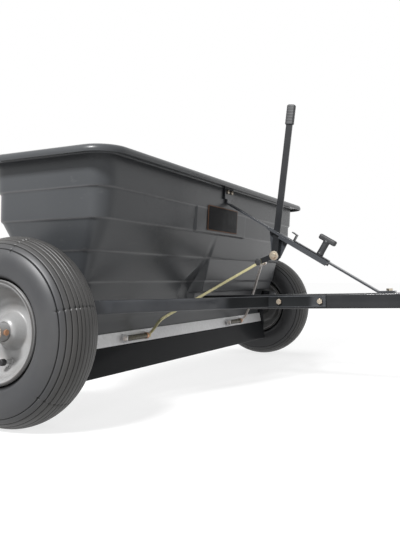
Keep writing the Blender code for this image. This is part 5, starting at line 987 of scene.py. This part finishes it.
def make_knob():
    """T-shaped knob: a fluted post, and a rounded bar whose section shrinks at its ends."""
    foot = AXLE + on_strut(KNOB_PLACE, STOP + 2 * FIT)
    post, bar_height = 0.034, 0.0135
    profile = [(0.0, 0.0), (0.0, 0.0085), (0.004, 0.0085), (0.005, 0.0080),
               (post - 0.004, 0.0080), (post - 0.001, 0.0085), (post + 0.004, 0.0078),
               (post + 0.004, 0.0)]
    along, radius = divided(softened(profile, 0.0012, 4, closed=False), 0.004).T
    flute = (0.5 + 0.5 * np.cos(8 * around(48)[:, None])) * smooth(0.005, 0.009, along)
    shell = Shell().grid(turned(along, radius * (1 - 0.05 * flute), foot, STRUT_NORMAL, 48),
                         wrap_rows=True)
    t = np.sin(np.linspace(-np.pi / 2, np.pi / 2, 41))
    swell = np.sqrt(1 - np.abs(t) ** 14) * (1 - 0.05 * (1 - t * t))
    outline = oblong(0.0145, bar_height, 0.0040, 6) * swell[:, None, None]
    path = foot + STRUT_NORMAL * (post - 0.001 + bar_height / 2) + t[:, None] * 0.0225 * STRUT_RUN
    shell.grid(placed(path, outline, ALONG_AXLE, STRUT_NORMAL), wrap_cols=True)
    shell.piece("stop_knob", BLACK_PLASTIC, "t_knob", crease=60)


# Links and their brackets

LINK_HALF = 0.0015
LINK_BOLT = np.array((0.0, -0.049596, -0.035800))
ARM_TILT = math.radians(-20.6)
ARM_END = PIVOT + 0.0428 * np.array((0, math.cos(ARM_TILT), math.sin(ARM_TILT)))


def make_link(name, finish, upper_x, knee_x, lower_x):
    """Bent bar: a rounded section down a path with three bends, and an eye at each end."""
    run, length = unit(LINK_BOLT - ARM_END), np.linalg.norm(LINK_BOLT - ARM_END)
    top = AXLE + ARM_END
    points = [(upper_x, 0.0035), (upper_x, 0.0090), (knee_x, length - 0.0534),
              (lower_x, length - 0.0184), (lower_x, length - 0.0030)]
    line = divided(softened(points, (0, 0.005, 0.014, 0.010, 0), 8, closed=False), 0.012)
    path = top + line[:, :1] * ALONG_AXLE + line[:, 1:] * run
    shell = Shell().tube(carried(path, oblong(0.0036, 0.0064, 0.0016), np.cross(run, ALONG_AXLE)))
    for x, along, hole in ((upper_x, 0.0, 0.0050), (lower_x, length, 0.0035)):
        shell.band(-0.0014, 0.0014, hole, hole + 0.003, 0.0004, top + run * along + (x, 0, 0),
                   steps=32)
    shell.piece(f"{name}_link_strip", finish, f"{name}_link", crease=40)


def make_link_bolt(name, link_x):
    """The bolt through a link's lower eye and its bracket, with a sleeve and a collar on it."""
    _, y, z = LINK_BOLT
    ear, bracket = 0.002, 0.088
    left = link_x - LINK_HALF - 2 * FIT - bracket
    make_bolt(f"{name}_link_bolt", (link_x + LINK_HALF + FIT, y, z), (left, y, z), tail=0.002,
              finish=PALE_ZINC, name=f"{name}_link_hex", **M6)
    start, end = left + ear + FIT, link_x - LINK_HALF - 3 * FIT - ear
    joint = end - 0.007
    for form, finish, low, high, radius in (("roller", OLIVE_FILM, start, joint, 0.0060),
                                            ("collar", COPPER_ZINC, joint, end, 0.0067)):
        Shell().band(low, high, 0.0033, radius, 0.0006, AXLE + (0, y, z), steps=28).piece(
            f"{name}_link_{form}", finish, f"{name}_link_sleeve")


def make_link_pin():
    """The pin through the arm and both links, its shoulder between them, and its two caps."""
    low, high = (corner[0] - AXLE[0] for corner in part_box("link_pin"))
    thin, thick = 0.0046, 0.0055
    line = [(low + 0.001, 0.0), (low + 0.001, thin), (0.0008, thin), (0.0008, thick),
            (0.0283, thick), (0.0283, thin), (high - 0.001, thin), (high - 0.001, 0.0)]
    Shell().spindle(softened(line, 0.0004, 3, closed=False), AXLE + ARM_END, ALONG_AXLE,
                    32).piece("link_pin_turned", BOLT_ZINC, "link_pin")
    shell = Shell()
    for end, inward, wide in ((low, 1, 0.0084), (high, -1, 0.0070)):
        cap = [(0.0, 0.0), (0.0, wide - 0.0010), (0.0014, wide), (0.0022, wide),
               (0.0022, 0.0044), (0.0011, 0.0044), (0.0011, 0.0)]
        shell.spindle(softened(cap, 0.0004, 3, closed=False), AXLE + ARM_END + (end, 0, 0),
                      (inward, 0, 0), 32)
    shell.piece("link_pin_caps", BLACK_PLASTIC, "link_pin")


# Hitch and deflector

def make_hitch():
    """Hitch pin with its collar and pull ring, and the wire clip through its foot."""
    radius, wire, ring, ahead = 0.0063, 0.0014, 0.016, 0.045
    centre = AXLE + on_tongue(TONGUE_FRONT - ahead * math.cos(TONGUE_SLOPE), 0)
    up = np.array((0, math.sin(TONGUE_SLOPE), math.cos(TONGUE_SLOPE)))
    low = TONGUE_HALF + FIT + FORK
    high = low + FIT
    line = [(-low - 0.018, 0.0), (-low - 0.018, 0.0038), (-low - 0.014, radius), (high, radius),
            (high, 0.0107), (high + 0.005, 0.0107), (high + 0.005, radius),
            (high + 0.016, radius), (high + 0.016, 0.0)]
    size = (0, 0.001, 0.001, 0.0006, 0.0008, 0.0008, 0.0008, 0.0008, 0)
    shell = Shell().spindle(softened(line, size, 4, closed=False), centre, up, 40)
    shell.ring(circle(0.0028, 12) + (0, ring), centre + up * (high + 0.016 + ring - 0.0015),
               ALONG_AXLE, 56)
    shell.piece("hitch_pin_turned", BOLT_ZINC, "hitch_pin", crease=40)
    bow = radius + wire + 2 * FIT
    clip = [(-0.014, 0.0), (0.0, 0.0), (0.030, 0.0), (0.038, -0.003), (0.040, -0.009),
            (0.034, -0.0135), (0.024, -bow - 0.003), (0.016, -bow + 0.0002), (0.004, -bow),
            (-0.002, -bow), (-0.008, -bow + 0.001), (-0.014, -bow - 0.001)]
    path = centre - up * (low + 0.009) + together(*softened(clip, 0.006, 5, closed=False).T, 0.0)
    Shell().tube(carried(path, circle(wire, 12), UP)).piece(
        "hitch_wire_clip", BOLT_ZINC, "hitch_clip", crease=60)


def make_deflector():
    """The sheet below the spreading plate, with a rolled top edge and two end flanges."""
    low, high = (np.array(corner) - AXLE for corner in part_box("deflector"))
    bottom, top = low[2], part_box("closure_plate")[0][2] - AXLE[2] - 0.0008
    foot, head, back, radius, sheet = -0.0555, -0.0415, high[1] - 0.001, 0.0024, 0.0018
    turn = np.linspace(0, np.pi, 9)
    roll = together(head + radius - radius * np.cos(turn), top - radius + radius * np.sin(turn))
    line = np.concatenate([[(foot + 0.004, bottom + 0.0012), (foot + 0.0004, bottom + 0.0012)],
                           roll])
    line = softened(line, (0, 0.0015, *[0] * len(roll)), 4, closed=False)
    section = sheet_profile(divided(line, 0.006), sheet)
    shell = Shell().tube(AXLE + together(np.linspace(-FOOT_HALF, FOOT_HALF, 60)[:, None],
                                         *section.T))
    outline = softened([(foot, bottom + 0.003), (back, bottom + 0.003), (back, top - 0.007),
                        (head, top - 0.007)], 0.004)
    for side in (-1, 1):
        shell.plate(outline, sheet, AXLE + (side * (FOOT_HALF - 0.001), 0, 0), (0, 1, 0), UP,
                    0.0004)
    shell.piece("deflector_sheet", DULL_PAINT, "deflector", crease=40)


# Stage

PICTURE_WIDTH, PICTURE_HEIGHT = 400, 533
FOCAL_LENGTH, CENTRE_X, CENTRE_Y = 603.7512, 194.9054, 211.8240    # in pixels
SENSOR = 36.0


def make_floor():
    """White floor and sky, which light the object less than they show."""
    size = 30.0
    mesh = bpy.data.meshes.new("floor")
    mesh.from_pydata([(-size, -size, 0), (size, -size, 0), (size, size, 0), (-size, size, 0)],
                     [], [(0, 1, 2, 3)])
    linked("floor", mesh)
    f = Finish("studio_floor")
    away = f.add("ShaderNodeVectorMath", {0: f.place}, output="Value", operation="LENGTH")
    glow = f.mix(away.between(0.9, 3.0), (0.76, 0.76, 0.76), (0.94, 0.94, 0.94))
    mesh.materials.append(f.done(
        base_color=(0.32, 0.32, 0.32), roughness=0.9, specular_ior_level=0.0,
        emission_strength=1.0, emission_color=f.mix(f.seen(), (0.0, 0.0, 0.0), glow)))
    world = bpy.data.worlds.new("studio")
    bpy.context.scene.world = world
    world.use_nodes = True
    sky, background = Nodes(world.node_tree), world.node_tree.nodes["Background"].inputs
    sky.feed(background["Color"], (1, 1, 1))
    sky.feed(background["Strength"], sky.seen().widest(0.12))


def make_lamps():
    """Soft lamps: place, what each is aimed at, width, height and power."""
    for name, place, aim, width, height, power in (
            ("lamp_key", (-3.0, 0.5, 2.5), (-0.2, 0.3, 0.35), 0.6, 0.6, 160.0),
            ("lamp_far", (3.4, -0.9, 1.3), (0.0, 0.2, 0.25), 1.4, 1.0, 26.0),
            ("lamp_rear", (-0.3, 3.6, 1.8), (0.0, 0.2, 0.25), 1.6, 1.0, 22.0),
            ("lamp_top", (0.4, 0.8, 3.0), (0.0, 0.2, 0.3), 2.4, 1.6, 40.0),
            ("lamp_side", (-3.0, -1.0, 1.3), (0.0, 0.2, 0.25), 0.8, 0.8, 22.0),
            ("lamp_front", (1.3, -2.4, 0.8), (0.3, 0.2, 0.30), 1.2, 0.9, 9.5)):
        data = bpy.data.lights.new(name, "AREA")
        data.shape, data.size, data.size_y, data.energy = "RECTANGLE", width, height, power
        lamp = linked(name, data)
        lamp.visible_glossy = name == "lamp_key"
        lamp.location = place
        lamp.rotation_euler = (Vector(aim) - Vector(place)).to_track_quat("-Z", "Y").to_euler()


def make_camera():
    """The photograph's camera."""
    data = bpy.data.cameras.new("camera")
    data.sensor_width, data.clip_start = SENSOR, 0.01
    data.lens = FOCAL_LENGTH / PICTURE_HEIGHT * SENSOR
    data.shift_x = (PICTURE_WIDTH / 2 - CENTRE_X) / PICTURE_HEIGHT
    data.shift_y = (CENTRE_Y - PICTURE_HEIGHT / 2) / PICTURE_HEIGHT
    yaw, pitch = 0.4788, 0.1091
    forward = Vector((math.cos(yaw) * math.cos(pitch), math.sin(yaw) * math.cos(pitch),
                      math.sin(pitch)))
    right = Vector((math.sin(yaw), -math.cos(yaw), 0.0))
    turn = Matrix((right, right.cross(forward), -forward)).transposed()
    place = Matrix.Translation((-1.4088, -0.7778 + AXLE[1], 0.2568))
    camera = linked("camera", data)
    camera.matrix_world = place @ turn.to_4x4()
    bpy.context.scene.camera = camera
    bpy.context.scene.view_settings.view_transform = "Standard"


make_floor()
make_lamps()
make_camera()
make_hopper()
make_badge()
for wheel, hand in SIDES:
    for make in (make_tyre, make_rim, make_valve, make_cotter, make_brace):
        make(wheel, hand)
make_turned_pieces()
make_tongue()
make_bolts()
make_grip()
make_knob()
for wheel, coat, upper, knee, lower in (
        ("near", YELLOW_ZINC, -0.0045 - 2 * FIT - LINK_HALF, -0.2460, -0.2335),
        ("far", PALE_ZINC, 0.0280 + 2 * FIT + LINK_HALF, 0.2624, 0.2985)):
    make_link(wheel, coat, upper, knee, lower)
    make_link_bolt(wheel, lower)
make_link_pin()
make_hitch()
make_deflector()
for cad_node, form, coat, *rounding in (
        # The strut and gauge channel take the lighter copy of the black paint: painted light.
        ("strut", "bar", LIGHTENED_BLACK_PAINT, 0.0016, 3),
        ("gauge_channel", "sheet", LIGHTENED_BLACK_PAINT, 0.0010, 3),
        ("flow_stop", "strip", PAINT, 0.0005), ("lever", "bar", PAINT, 0.0009),
        ("pivot_spacer", "turned", BOLT_ZINC, 0.0003),
        ("near_end_plate", "sheet", PAINT, 0.0005), ("far_end_plate", "sheet", PAINT, 0.0005),
        ("near_link_bracket", "sheet", GALVANISED, 0.0004),
        ("far_link_bracket", "sheet", GALVANISED, 0.0004),
        ("hitch_plate_top", "bar", PAINT, 0.0008), ("hitch_plate_bottom", "bar", PAINT, 0.0008),
        ("closure_plate", "sheet", GALVANISED, 0.0004),
        ("metering_plate", "sheet", GALVANISED, 0.0003), ("agitator", "blades", STEEL, 0.0005)):
    eased(cad_node, f"{cad_node}_{form}", coat, *rounding)
